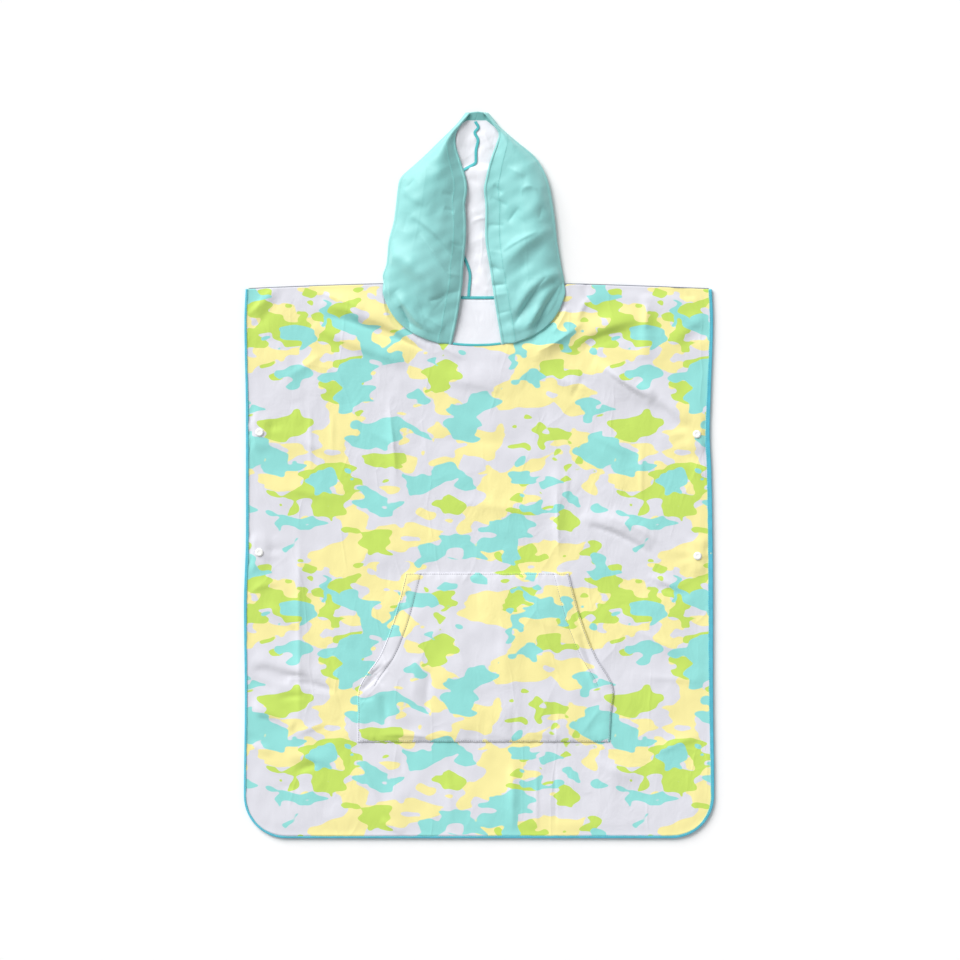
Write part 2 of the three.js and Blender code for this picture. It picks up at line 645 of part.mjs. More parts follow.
const poncho = new THREE.Group();
poncho.add(
  piece("back_panel", layerUnder(backTop, CLOTH), LILAC_GREY),
  piece("front_panel", layerUnder(frontTop, CLOTH), LILAC_GREY),
  ...bindingsOf(backTop, "back", 0, BINDING.backHeight - BINDING.crown),
  ...bindingsOf(frontTop, "front", BINDING.frontBase, BINDING.frontHeight),
  piece("pocket", layerUnder(pocketTop(), CLOTH), LILAC_GREY),
  piece("hood_left", hoodHalf("left"), TURQUOISE),
  piece("hood_right", hoodHalf("right"), TURQUOISE),
  seamTape("upper"),
  seamTape("lower"),
  backNeckTape(),
  frontNeckTape(),
  ...SNAPS.flatMap((snap) => [snapCap(snap, "front"), snapCap(snap, "back")]),
);

export default poncho;
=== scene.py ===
# %% [markdown]
# # A child's bath poncho, laid flat
# The garment is modelled the way it is sewn: two printed panels, a pocket, a hood in two halves, tapes,
# binding and snaps. Every piece is a grid of points worked out with numpy, so a fold is a number added to
# a height, and the same fold can be read by every piece that lies on it. All working sizes are in
# millimetres and become metres only when a mesh is made.

# %% Frame
import math
import bmesh
import bpy
import numpy as np
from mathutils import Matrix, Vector


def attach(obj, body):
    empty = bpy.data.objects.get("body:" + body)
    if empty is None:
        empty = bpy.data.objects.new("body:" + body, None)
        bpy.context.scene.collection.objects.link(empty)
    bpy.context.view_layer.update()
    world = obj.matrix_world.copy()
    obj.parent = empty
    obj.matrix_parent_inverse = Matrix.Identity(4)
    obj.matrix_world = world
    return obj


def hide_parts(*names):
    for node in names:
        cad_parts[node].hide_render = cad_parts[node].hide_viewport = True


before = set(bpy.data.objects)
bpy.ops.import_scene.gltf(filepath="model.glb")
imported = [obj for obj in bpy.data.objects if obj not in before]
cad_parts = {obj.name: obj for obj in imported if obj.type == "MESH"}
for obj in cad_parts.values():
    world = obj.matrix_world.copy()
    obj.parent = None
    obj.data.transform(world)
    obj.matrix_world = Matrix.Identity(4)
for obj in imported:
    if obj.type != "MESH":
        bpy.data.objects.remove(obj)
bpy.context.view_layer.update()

MM = 0.001

# %% [markdown]
# ## Camera
# The garment was photographed from straight above. A long lens from far away keeps the view almost
# parallel, so 1 mm on the cloth is the same size everywhere in the picture.

# %% Camera
PICTURE = {"pixels": 960, "mm_per_pixel": 1.3, "middle_x": 1.3, "middle_y": -6.5}
CAMERA_HEIGHT = 6.0
SENSOR = 36.0

view_width = PICTURE["pixels"] * PICTURE["mm_per_pixel"] * MM
camera_data = bpy.data.cameras.new("camera")
camera_data.sensor_width = SENSOR
camera_data.lens = SENSOR * CAMERA_HEIGHT / view_width
camera = bpy.data.objects.new("camera", camera_data)
camera.location = (PICTURE["middle_x"] * MM, PICTURE["middle_y"] * MM, CAMERA_HEIGHT)
bpy.context.scene.collection.objects.link(camera)
bpy.context.scene.camera = camera
print("view width in metres:", view_width)

# %% [markdown]
# ## Reading tables
# Outlines are short tables with a row for each place that matters. Between rows a smooth cubic (Hermite)
# curve is read, so a few rows give a soft line without long lists of points.

# %% Tables


def read(table, key, column, at):
    """Value of one column at places between its rows: cubic pieces whose slopes come from the
    neighbouring rows on both sides."""
    rows = [row for row in table if column in row]
    keys = np.array([row[key] for row in rows], float)
    values = np.array([row[column] for row in rows], float)
    low = np.maximum(np.arange(len(keys)) - 1, 0)
    high = np.minimum(np.arange(len(keys)) + 1, len(keys) - 1)
    slopes = (values[high] - values[low]) / (keys[high] - keys[low])
    at = np.asarray(at, float)
    k = np.clip(np.searchsorted(keys, at, side="right") - 1, 0, len(keys) - 2)
    span = keys[k + 1] - keys[k]
    t = np.clip((at - keys[k]) / span, 0, 1)
    start = (1 + 2 * t) * (1 - t) ** 2 * values[k]
    end = t**2 * (3 - 2 * t) * values[k + 1]
    return start + end + span * t * (1 - t) * ((1 - t) * slopes[k] - t * slopes[k + 1])


def fade(distance, flat, reach):
    """1 up to flat, then half a cosine down to 0 at reach."""
    share = np.clip((np.abs(distance) - flat) / (reach - flat), 0, 1)
    return 0.5 + 0.5 * np.cos(np.pi * share)


def rise(value, start, end):
    """0 before start and 1 after end, with a smooth S between them."""
    t = np.clip((value - start) / (end - start), 0, 1)
    return t * t * (3 - 2 * t)


# %% [markdown]
# ## Folds
# Soft cloth that has been packed and shaken out shows three things: broad ridges where it didn't lie down,
# narrow creases where it was pressed, and a faint unevenness all over. Each fold is one row of a table: two
# ends, a width across and a height, which is negative for a trough. A row may add how many times wider its
# right-hand side is, because a fold that leans is steep on one side only, and how far it bows to the right.

# %% Folds
FOLD_COLUMNS = ("x0", "y0", "x1", "y1", "width", "height", "lee", "bow")
SOFT, CRISP = 2.0, 1.2


def folds_at(rows, x, y, power=SOFT):
    """Sum over the folds of height * exp(-|distance across / width|^power) * taper, where the taper is a
    half sine to the power 0.7 from one end to the other. Power 2 gives a round fold, 1.2 a pressed one."""
    total = np.zeros(np.shape(x))
    for row in rows:
        fold = {"lee": 1.0, "bow": 0.0, **dict(zip(FOLD_COLUMNS, row))}
        run_x, run_y = fold["x1"] - fold["x0"], fold["y1"] - fold["y0"]
        length = math.hypot(run_x, run_y)
        along = ((x - fold["x0"]) * run_x + (y - fold["y0"]) * run_y) / length**2
        along = np.clip(along, 0, 1)
        across = ((x - fold["x0"]) * run_y - (y - fold["y0"]) * run_x) / length
        across = across - fold["bow"] * 4 * along * (1 - along)
        width = np.where(across > 0, fold["width"] * fold["lee"], fold["width"])
        taper = np.sin(np.pi * along) ** 0.7
        total += fold["height"] * taper * np.exp(-(np.abs(across / width) ** power))
    return total


def unevenness(x, y, seed, shortest, longest, waves=26):
    """Sum of plane waves in seeded directions, wavelengths and phases, scaled to about -1 to 1."""
    draw = np.random.default_rng(seed)
    total = np.zeros(np.shape(x))
    for _ in range(waves):
        turn, phase = draw.uniform(0, 2 * np.pi, 2)
        length = math.exp(draw.uniform(math.log(shortest), math.log(longest)))
        total += np.sin((x * math.cos(turn) + y * math.sin(turn)) * 2 * np.pi / length + phase)
    return total / math.sqrt(waves)


# %% [markdown]
# ## From grids to meshes
# A layer of cloth is two grids of points, outside and inside, joined round the rim. The faces are indexed
# with whole arrays, and each face remembers which side it is on, so the print can stay on the outside.

# %% Mesh making
OUTSIDE, INSIDE, RIM = 0, 1, 2


def as_points(x, y, z):
    """Three arrays of one shape to one array of points."""
    return np.stack(np.broadcast_arrays(x, y, z), axis=-1).astype(float)


def make_mesh(name, points, faces, materials, face_material=None, attributes=None):
    """An object at the origin with its place in its mesh. points are in millimetres, faces is one array
    or a list of arrays, for quads and triangles together."""
    mesh = bpy.data.meshes.new(name)
    groups = faces if isinstance(faces, list) else [faces]
    corners = sum((group.tolist() for group in groups), [])
    mesh.from_pydata((points * MM).tolist(), [], corners)
    for material in materials:
        mesh.materials.append(material)
    if face_material is not None:
        mesh.polygons.foreach_set("material_index", face_material.astype(np.int32))
    for key, values in (attributes or {}).items():
        layer = mesh.attributes.new(key, "FLOAT", "POINT")
        layer.data.foreach_set("value", values.astype(np.float32))
    mesh.polygons.foreach_set("use_smooth", np.ones(len(corners), bool))
    mesh.update()
    thing = bpy.data.objects.new(name, mesh)
    bpy.context.scene.collection.objects.link(thing)
    return thing


def grid_faces(rows, columns, offset=0):
    """Quads of a grid: each face takes a point, its right neighbour and the two above them."""
    r, c = np.meshgrid(np.arange(rows - 1), np.arange(columns - 1), indexing="ij")
    first = (r * columns + c).ravel() + offset
    return np.stack([first, first + 1, first + columns + 1, first + columns], axis=1)


def signed_volume(points, faces):
    """Sum of a . (b x c) / 6 over the triangles of the quads: positive where faces point outwards."""
    a, b, c, d = (points[faces[:, k]] for k in range(4))
    return (np.einsum("ij,ij", a, np.cross(b, c)) + np.einsum("ij,ij", a, np.cross(c, d))) / 6


def shell(name, outside, inside, materials, attributes=None, skip=1):
    """A closed wall between two grids with the same rows and columns. materials are those of the
    outside, the inside and the rim. attributes are grids, the same on both sides. With skip 2 the inside
    keeps every second row and column, for a hidden side needs no finer ones, and each step of the rim is
    then a quad and a triangle. Rows and columns are odd in that case."""
    rows, columns = outside.shape[:2]
    inside = inside[::skip, ::skip]
    in_rows, in_columns = inside.shape[:2]
    count = rows * columns
    points = np.concatenate([outside.reshape(-1, 3), inside.reshape(-1, 3)])
    over = grid_faces(rows, columns)
    under = grid_faces(in_rows, in_columns, count)[:, ::-1]
    out_loop = rim_loop(np.arange(count).reshape(rows, columns))
    in_loop = rim_loop(count + np.arange(in_rows * in_columns).reshape(in_rows, in_columns))
    first, last = out_loop[::skip], np.roll(out_loop, -1)[skip - 1::skip]
    middle = out_loop[skip - 1::skip] if skip > 1 else last
    rim = np.stack([first, in_loop, np.roll(in_loop, -1), middle], axis=1)
    fill = np.stack([middle, np.roll(in_loop, -1), last], axis=1)
    groups = [over, under, rim] + ([fill] if skip > 1 else [])
    side = np.repeat([OUTSIDE, INSIDE, RIM, RIM][: len(groups)], [len(group) for group in groups])
    if signed_volume(points, np.concatenate(groups[:3])) < 0:
        groups = [group[:, ::-1] for group in groups]
    doubled = {key: np.concatenate([np.ravel(grid), np.ravel(grid[::skip, ::skip])])
               for key, grid in (attributes or {}).items()}
    return make_mesh(name, points, groups, materials, side, doubled)


def rim_loop(index):
    """Indices round the rim of a grid, each once: first row, last column, and back."""
    return np.concatenate([index[0, :-1], index[:-1, -1], index[-1, :0:-1], index[:0:-1, 0]])


def normals_of(points):
    """Unit normals of a grid of points: the cross product of its two central differences."""
    along = np.gradient(points, axis=0)
    across = np.gradient(points, axis=1)
    normal = np.cross(across, along)
    return normal / np.maximum(np.linalg.norm(normal, axis=-1, keepdims=True), 1e-9)


def area_of(points):
    """Area of a grid of points in square metres: half the diagonals' cross product, summed."""
    first = points[1:, 1:] - points[:-1, :-1]
    second = points[1:, :-1] - points[:-1, 1:]
    return float(np.linalg.norm(np.cross(first, second), axis=-1).sum() / 2 * MM**2)


def dress(piece, slot, *nodes):
    """The piece rides with the garment and stands for CAD nodes, whose parts it hides. Its slot is not used.
    """
    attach(piece, "root")
    if nodes:
        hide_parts(*nodes)
    print("made", piece.name, "with", len(piece.data.polygons), "faces")
    return piece


# %% [markdown]
# ## Finishes from nodes
# Shader maths reads best as a formula. A small class holds one output socket, and its operators add Math
# nodes, so `1 - mask` is a node too. Every other node comes from one method that takes the node's type, its
# settings and the values or links of its sockets.

# %% Shader helper


class Wire:
    """One output socket of a node tree. Sums, differences, products and quotients with numbers or other
    wires add Math nodes."""

    def __init__(self, finish, socket):
        self.finish = finish
        self.socket = socket

    def math(self, operation, *values):
        return self.finish.node("Math", {"operation": operation}, dict(enumerate(values)))

    def __add__(self, other):
        return self.math("ADD", self, other)

    __radd__ = __add__

    def __sub__(self, other):
        return self.math("SUBTRACT", self, other)

    def __rsub__(self, other):
        return self.math("SUBTRACT", other, self)

    def __mul__(self, other):
        return self.math("MULTIPLY", self, other)

    __rmul__ = __mul__

    def __truediv__(self, other):
        return self.math("DIVIDE", self, other)

    def clamped(self):
        """The value held between 0 and 1."""
        return self.finish.node("Clamp", {}, {"Value": self})


class Finish:
    """A material whose nodes are made one by one and end in a Principled shader."""

    def __init__(self, name):
        self.material = bpy.data.materials.new(name)
        self.material.use_nodes = True
        self.tree = self.material.node_tree
        self.tree.nodes.clear()

    def node(self, kind, settings, values, output=0):
        """Adds a ShaderNode of this kind. settings are its properties, values go to its sockets by name
        or number, and output picks the socket that is returned."""
        made = self.tree.nodes.new("ShaderNode" + kind)
        for key, value in settings.items():
            setattr(made, key, value)
        for key, value in values.items():
            if isinstance(value, Wire):
                self.tree.links.new(value.socket, made.inputs[key])
            else:
                made.inputs[key].default_value = value
        return Wire(self, made.outputs[output])

    def blend(self, share, below, above):
        """Colour mix: share 0 gives below and 1 gives above."""
        settings = {"data_type": "RGBA"}
        return self.node("Mix", settings, {0: share, 6: below, 7: above}, output=2)

    def place(self, scale=(1, 1, 1), move=(0, 0, 0)):
        """Object coordinates times scale plus move. Object coordinates are in metres."""
        where = self.node("TexCoord", {}, {}, output="Object")
        sized = self.node("VectorMath", {"operation": "MULTIPLY"}, {0: where, 1: scale})
        return self.node("VectorMath", {"operation": "ADD"}, {0: sized, 1: move})

    def noise(self, vector, scale, detail=2.0, roughness=0.5, output=0, **more):
        values = {"Vector": vector, "Scale": scale, "Detail": detail, "Roughness": roughness}
        return self.node("TexNoise", {}, {**values, **more}, output)

    def done(self, **values):
        """Principled shader with these sockets, whose spaces are written as underscores."""
        sockets = {key.replace("_", " "): value for key, value in values.items()}
        shader = self.node("BsdfPrincipled", {}, sockets)
        self.node_output(shader)
        return self.material

    def node_output(self, shader):
        end = self.tree.nodes.new("ShaderNodeOutputMaterial")
        self.tree.links.new(shader.socket, end.inputs["Surface"])


def colour(red, green, blue):
    """A display colour from 0 to 255 as linear light: ((c + 0.055) / 1.055)^2.4, or c / 12.92 if dark."""
    shares = np.array([red, green, blue]) / 255
    linear = np.where(shares > 0.04045, ((shares + 0.055) / 1.055) ** 2.4, shares / 12.92)
    return (*linear.tolist(), 1.0)


# %% [markdown]
# ## The cloth's own surface
# The towelling is thin and brushed: from near by it shows a fine cross of yarns and tiny flecks of nap, and
# from a step away only a soft satin gloss. The yarns are two wave textures at the real pitch, and the gloss
# varies slightly with a larger noise, as brushed cloth does where hands have smoothed it. A net of faint
# pressed lines is left from the packet: each is near the edge of a Voronoi cell, and a noise bends the net.

# %% Cloth surface
YARN_PITCH = 1.1 * MM
YARN_HEIGHT = 0.05 * MM
NAP_SIZE = 0.9 * MM
CRUMPLE_SIZE = 26 * MM
CRUMPLE_HEIGHT = 0.8 * MM
BANDS = 2 * math.pi / 20
NAP_SHARE = 1.4
CALM = {"size": 150 * MM, "from": 0.36, "steep": 4, "least": 0.3}
PRESSED = {"across": 58 * MM, "along": 150 * MM, "line": 0.06, "height": 0.26 * MM}
BENT = {"size": 40 * MM, "by": 0.14}
KEPT = {"size": 70 * MM, "from": 0.44, "steep": 6}


def cloth_surface(finish):
    """Normal and roughness of the brushed cloth. Height = yarns along x and y and nap, crumples that are
    deeper where a large noise is high, and (1 - distance from a cell's edge / line)^2 where lines stay."""
    where = finish.place()
    warp, weft = [finish.node("TexWave", {"bands_direction": axis, "wave_profile": "SIN"},
                              {"Vector": where, "Scale": BANDS / YARN_PITCH, "Distortion": 0.6})
                  for axis in ("X", "Y")]
    nap = finish.noise(where, 1 / NAP_SIZE, detail=3.0)
    stretched = finish.place((1, 0.55, 1))
    soft = finish.noise(stretched, 1 / CRUMPLE_SIZE, detail=4.0, roughness=0.6, Distortion=1.2)
    fine = (warp + weft) * 0.5 + nap * NAP_SHARE
    uneasy = finish.noise(where, 1 / CALM["size"], detail=1.0)
    share = ((uneasy - CALM["from"]) * CALM["steep"]).clamped() + CALM["least"]
    bent = finish.noise(where, 1 / BENT["size"], detail=1.0, output="Color")
    bent = finish.node("VectorMath", {"operation": "SCALE"}, {0: bent, "Scale": BENT["by"]})
    net = finish.place((1 / PRESSED["across"], 1 / PRESSED["along"], 0))
    net = finish.node("VectorMath", {"operation": "ADD"}, {0: net, 1: bent})
    settings = {"feature": "DISTANCE_TO_EDGE", "voronoi_dimensions": "2D"}
    from_line = finish.node("TexVoronoi", settings, {"Vector": net, "Scale": 1.0}, output="Distance")
    line = (1 - from_line / PRESSED["line"]).clamped()
    patches = finish.noise(finish.place(move=(0.3, 0.1, 0)), 1 / KEPT["size"], detail=1.0)
    kept = ((patches - KEPT["from"]) * KEPT["steep"]).clamped()
    pressed = line * line * kept * PRESSED["height"]
    relief = fine * YARN_HEIGHT + soft * CRUMPLE_HEIGHT * share + pressed
    normal = finish.node("Bump", {}, {"Strength": 1.0, "Distance": 1.0, "Height": relief})
    roughness = 0.52 + 0.12 * soft + 0.06 * nap
    return normal, roughness


# %% [markdown]
# ## Camouflage
# The print has four pastel colours laid one over another: a lilac-grey ground, then yellow, lime and
# turquoise. A screen print repeats, so the noise must repeat as well. It is read on two circles, one for
# the width of the repeat and one for its height: going once round a circle ends where it began. Each
# colour reads its own part of the same noise, and a steep ramp gives its sharp printed edge.

# %% Camouflage
REPEAT = {"width": 455 * MM, "height": 358 * MM}
BLOB = {"width": 60 * MM, "height": 38 * MM}
LOBES = {"strength": 0.75, "scale": 2.7}
PRINT_EDGE = 220.0
PRINT_COLOURS = {
    "ground": (219, 219, 227),
    "yellow": (244, 233, 160),
    "lime": (194, 222, 98),
    "turquoise": (144, 218, 213),
}
PRINT_LAYERS = [
    {"name": "yellow", "from": 0.540, "move": (3.1, 7.7, 1.9), "w": 2.3},
    {"name": "lime", "from": 0.600, "move": (11.3, 4.9, 8.2), "w": 9.1},
    {"name": "turquoise", "from": 0.575, "move": (6.4, 13.8, 5.5), "w": 14.6},
]


def camouflage(finish, slide=(0.0, 0.0)):
    """Colour of the print at Object coordinates. Noise at (R cos a, R sin a, Q cos b) with Q sin b as the
    fourth coordinate, where a and b turn once in the repeat's width and height, R = width / (2 pi blob
    width) and Q the same of the heights. The lobes come from moving each place by a finer noise first."""
    around_x = REPEAT["width"] / (2 * math.pi * BLOB["width"])
    around_y = REPEAT["height"] / (2 * math.pi * BLOB["height"])
    turn_x = 2 * math.pi / REPEAT["width"]
    turn_y = 2 * math.pi / REPEAT["height"]
    where = finish.place((turn_x, turn_y, 1), (slide[0] * turn_x, slide[1] * turn_y, 0))
    x = finish.node("SeparateXYZ", {}, {0: where}, output=0)
    y = finish.node("SeparateXYZ", {}, {0: where}, output=1)
    cosine = [x.math("COSINE", x) * around_x, x.math("SINE", x) * around_x, y.math("COSINE", y) * around_y]
    fourth = y.math("SINE", y) * around_y
    ring = finish.node("CombineXYZ", {}, dict(enumerate(cosine)))
    shade = colour(*PRINT_COLOURS["ground"])
    for layer in PRINT_LAYERS:
        settings = {"noise_dimensions": "4D"}
        spot = finish.node("VectorMath", {"operation": "ADD"}, {0: ring, 1: layer["move"]})
        values = {"Vector": spot, "W": fourth + layer["w"], "Scale": LOBES["scale"], "Detail": 0.0}
        lobes = finish.node("TexNoise", settings, values, output="Color")
        lobes = finish.node("VectorMath", {"operation": "SUBTRACT"}, {0: lobes, 1: (0.5, 0.5, 0.5)})
        lobes = finish.node("VectorMath", {"operation": "SCALE"}, {0: lobes, "Scale": LOBES["strength"]})
        spot = finish.node("VectorMath", {"operation": "ADD"}, {0: spot, 1: lobes})
        values = {"Vector": spot, "W": fourth + layer["w"], "Scale": 1.0, "Detail": 0.9, "Roughness": 0.5}
        field = finish.node("TexNoise", settings, values)
        mask = ((field - layer["from"]) * PRINT_EDGE).clamped()
        shade = finish.blend(mask, shade, colour(*PRINT_COLOURS[layer["name"]]))
    return shade


def printed_cloth(name, slide):
    finish = Finish(name)
    normal, roughness = cloth_surface(finish)
    shade = camouflage(finish, slide)
    return finish.done(Base_Color=shade, Roughness=roughness, Normal=normal, Sheen_Weight=0.12,
                       Sheen_Roughness=0.4, Specular_IOR_Level=0.35)


front_print = printed_cloth("camouflage_front", (0.0, 0.0))
pocket_print = printed_cloth("camouflage_pocket", (0.004, -0.002))
back_print = printed_cloth("camouflage_back", (0.131, 0.087))
print("print repeats every", REPEAT, "metres")

# %% [markdown]
# ## Plain cloths, tapes, thread and plastic
# The inside of the towelling is unprinted and slightly blue. The hood is dyed plain turquoise with the
# same white inside, and only its turned hem is turquoise on both sides: an attribute on the mesh says how
# far each point is from the rim, so the change of colour follows the edge wherever the hood folds.

# %% Plain finishes
INSIDE_WHITE = (240, 241, 247)
HOOD_TURQUOISE = (146, 211, 209)
HOOD_TURQUOISE_DEEP = (131, 200, 197)
BINDING_BLUE = (78, 176, 198)
TAPE_BLUE = (80, 180, 184)
THREAD_TEAL = (118, 196, 192)
# Grey of the pocket thread, made dark so that the stitch rows also carry painted shade along their lines; the
# shoulder strips use it as painted shadow.
GREY_THREAD_AND_SHADE = (122, 126, 138)
SNAP_WHITE = (247, 247, 245)
HEM_TURNED = 20.0


def plain_cloth(name, light, deep, sheen=0.15):
    """Cloth in one dye that is a little deeper in places. Sheen is the pale gloss of brushed fibres."""
    finish = Finish(name)
    normal, roughness = cloth_surface(finish)
    patch_noise = finish.noise(finish.place(), 1 / (60 * MM), detail=3.0)
    shade = finish.blend((patch_noise * 2 - 0.5).clamped(), colour(*light), colour(*deep))
    return finish.done(Base_Color=shade, Roughness=roughness - 0.1, Normal=normal, Sheen_Weight=sheen,
                       Sheen_Roughness=0.5, Specular_IOR_Level=0.5)


def hood_inside():
    """White with a turquoise band where from_rim is less than the turned hem."""
    finish = Finish("hood_inside")
    normal, roughness = cloth_surface(finish)
    away = finish.node("Attribute", {"attribute_name": "from_rim"}, {}, output="Fac")
    plain = ((away - HEM_TURNED) * 4).clamped()
    shade = finish.blend(plain, colour(*HOOD_TURQUOISE_DEEP), colour(*INSIDE_WHITE))
    return finish.done(Base_Color=shade, Roughness=roughness, Normal=normal, Sheen_Weight=0.1,
                       Specular_IOR_Level=0.35)


def ribbed_tape(name, shade, pitch=0.8 * MM, bands=0.31):
    """Woven tape: tiny ribs in both directions and slightly uneven dye."""
    finish = Finish(name)
    where = finish.place()
    rib = finish.node("TexWave", {"bands_direction": "DIAGONAL"}, {"Vector": where, "Scale": bands / pitch})
    dye = finish.noise(where, 1 / (9 * MM), detail=4.0)
    light = tuple(min(255, round(c * 1.07 + 5)) for c in shade)
    tint = finish.blend((dye * 2 - 0.5).clamped(), colour(*shade), colour(*light))
    normal = finish.node("Bump", {}, {"Strength": 1.0, "Distance": 1.0, "Height": rib * (0.06 * MM)})
    return finish.done(Base_Color=tint, Roughness=0.5 + 0.12 * dye, Normal=normal, Specular_IOR_Level=0.4)


def thread(name, shade):
    """Polyester thread: glossy, with a twist seen as fine bands."""
    finish = Finish(name)
    twist = finish.noise(finish.place(), 1 / (0.6 * MM), detail=1.0)
    light = tuple(min(255, c + 24) for c in shade)
    tint = finish.blend(twist, colour(*shade), colour(*light))
    return finish.done(Base_Color=tint, Roughness=0.35 + 0.2 * twist)


def moulded_plastic():
    """White acetal: glossy, with a barely wavy skin."""
    finish = Finish("snap_plastic")
    skin = finish.noise(finish.place(), 1 / (3 * MM), detail=2.0)
    normal = finish.node("Bump", {}, {"Strength": 1.0, "Distance": 1.0, "Height": skin * (0.02 * MM)})
    shade = finish.blend(skin, colour(*SNAP_WHITE), colour(252, 252, 250))
    return finish.done(Base_Color=shade, Roughness=0.26 + 0.1 * skin, Normal=normal)


inside_white = plain_cloth("inside_white", INSIDE_WHITE, (235, 237, 244))
hood_cloth = plain_cloth("hood_cloth", HOOD_TURQUOISE, HOOD_TURQUOISE_DEEP, sheen=0.6)
hood_lining_side = hood_inside()
binding_tape = ribbed_tape("binding", BINDING_BLUE)
seam_tape = ribbed_tape("seam_tape", TAPE_BLUE)
thread_teal = thread("thread_teal", THREAD_TEAL)
grey_thread_and_shade = thread("grey_thread_and_shade", GREY_THREAD_AND_SHADE)
snap_plastic = moulded_plastic()
print("materials:", len(bpy.data.materials))


# %% [markdown]
# ## The body's cut
# Front and back are the same cut: straight shoulders, open sides that wander a few millimetres where the
# garment lies on the table, a straight hem with rounded corners, and a neckline that is deep in front and
# shallow behind. A neckline between two points and level at its lowest is close to a superellipse.

# %% Cut of the body
CLOTH = 0.9
PANEL = {"half": 303.4, "hem": -469.9, "corner": 52.9}
SHOULDER = {"neck_y": 248.0, "end_drop": 6.5, "power": 1.3}
NECK = {"middle": -2.6, "left": 121.5, "right": 114.4, "front": 81.0, "back": 18.0, "power": 2.2}
FACE_GAP = {"left": -36.0, "right": 30.0}
SIDE_WAVE = [
    {"y": -472, "left": 0, "right": 0},
    {"y": -396, "left": 0, "right": 0},
    {"y": -292, "left": 1.2, "right": 1.2},
    {"y": -162, "left": 0, "right": 1.4},
    {"y": -90, "left": 2.4, "right": 1.8},
    {"y": 0, "left": 2.6, "right": 3.4},
    {"y": 54, "left": 2.6, "right": 5.6},
    {"y": 98, "left": 2.4, "right": 4.4},
    {"y": 200, "left": 0.6, "right": 1.4},
    {"y": 248, "left": 2.6, "right": 3.4},
]
LEVEL_BAND = {"low": -412.0, "high": 146.0}
FRONT_ROWS = {"hem": 18, "level": 190, "top": 57}
BACK_ROWS = {"hem": 8, "level": 110, "top": 18}


def neck_share(x):
    """Share of its depth that a neckline has reached: (1 - |x / reach|^p)^(1/p)."""
    reach = np.where(x < NECK["middle"], NECK["left"], NECK["right"])
    across = np.minimum(1, np.abs(x - NECK["middle"]) / reach)
    return (1 - across ** NECK["power"]) ** (1 / NECK["power"])


def top_edge(x, depth):
    """Shoulder line outside the neck's ends, and the neckline of this depth between them."""
    reach = np.where(x < NECK["middle"], NECK["left"], NECK["right"])
    beyond = np.maximum(0, np.abs(x - NECK["middle"]) - reach)
    slope = SHOULDER["end_drop"] * (beyond / (PANEL["half"] - reach)) ** SHOULDER["power"]
    return SHOULDER["neck_y"] - slope - depth * neck_share(x)


def hem_edge(x):
    """Straight hem with an arc of the corner's radius at each end."""
    into = np.maximum(0, np.abs(x) - (PANEL["half"] - PANEL["corner"]))
    return PANEL["hem"] + PANEL["corner"] - np.sqrt(np.maximum(0, PANEL["corner"] ** 2 - into**2))


def side_inset(x, y):
    """How far a point moves in where the side stands in from the full width: wave * |x / half|^3."""
    wave = np.where(x < 0, read(SIDE_WAVE, "y", "left", y), read(SIDE_WAVE, "y", "right", y))
    return wave * np.abs(x / PANEL["half"]) ** 3 * np.sign(x)


def panel_columns(outer, side, neck):
    """Places across the panel, crowded at the corners and at the neckline's ends, where edges turn."""
    turn = np.linspace(0, np.pi / 2, outer + 1)
    corner = PANEL["half"] - PANEL["corner"] * (1 - np.cos(turn))
    inner = PANEL["half"] - PANEL["corner"]
    half_turn = np.linspace(0, np.pi / 2, neck + 1)
    neck_left = NECK["middle"] - NECK["left"] * np.cos(half_turn) ** (2 / NECK["power"])
    neck_right = NECK["middle"] + NECK["right"] * np.cos(half_turn) ** (2 / NECK["power"])
    left_side = np.linspace(-inner, neck_left[0], side + 1)
    right_side = np.linspace(neck_right[0], inner, side + 1)
    every = np.concatenate([-corner, left_side, neck_left, neck_right, right_side, corner])
    every = np.sort(every)
    return every[np.concatenate([[True], np.diff(every) > 0.05])]


def panel_plan(columns, rows, depth):
    """x and y of a panel's grid. Rows are level in the middle band and fan out to hem and top edge."""
    low = np.linspace(0, 1, rows["hem"], endpoint=False)[:, None]
    high = np.linspace(0, 1, rows["top"] + 1)[1:, None]
    level = np.linspace(LEVEL_BAND["low"], LEVEL_BAND["high"], rows["level"])[:, None]
    hem = hem_edge(columns)[None]
    top = top_edge(columns, depth)[None]
    y = np.concatenate([
        hem + (LEVEL_BAND["low"] - hem) * low,
        level + 0 * hem,
        LEVEL_BAND["high"] + (top - LEVEL_BAND["high"]) * high,
    ])
    return np.broadcast_to(columns[None], y.shape), y


front_columns = panel_columns(14, 54, 64)
print("columns across the front:", len(front_columns))

# %% [markdown]
# ## How the body lies
# The front lies on the back and is level over most of its area. It rises a little to its bound edge and to
# the snaps, swells in broad ridges where it was folded for packing, and carries narrow pressed creases.
# Round each snap the cloth radiates in small puckers, because the snap holds two layers at one point.

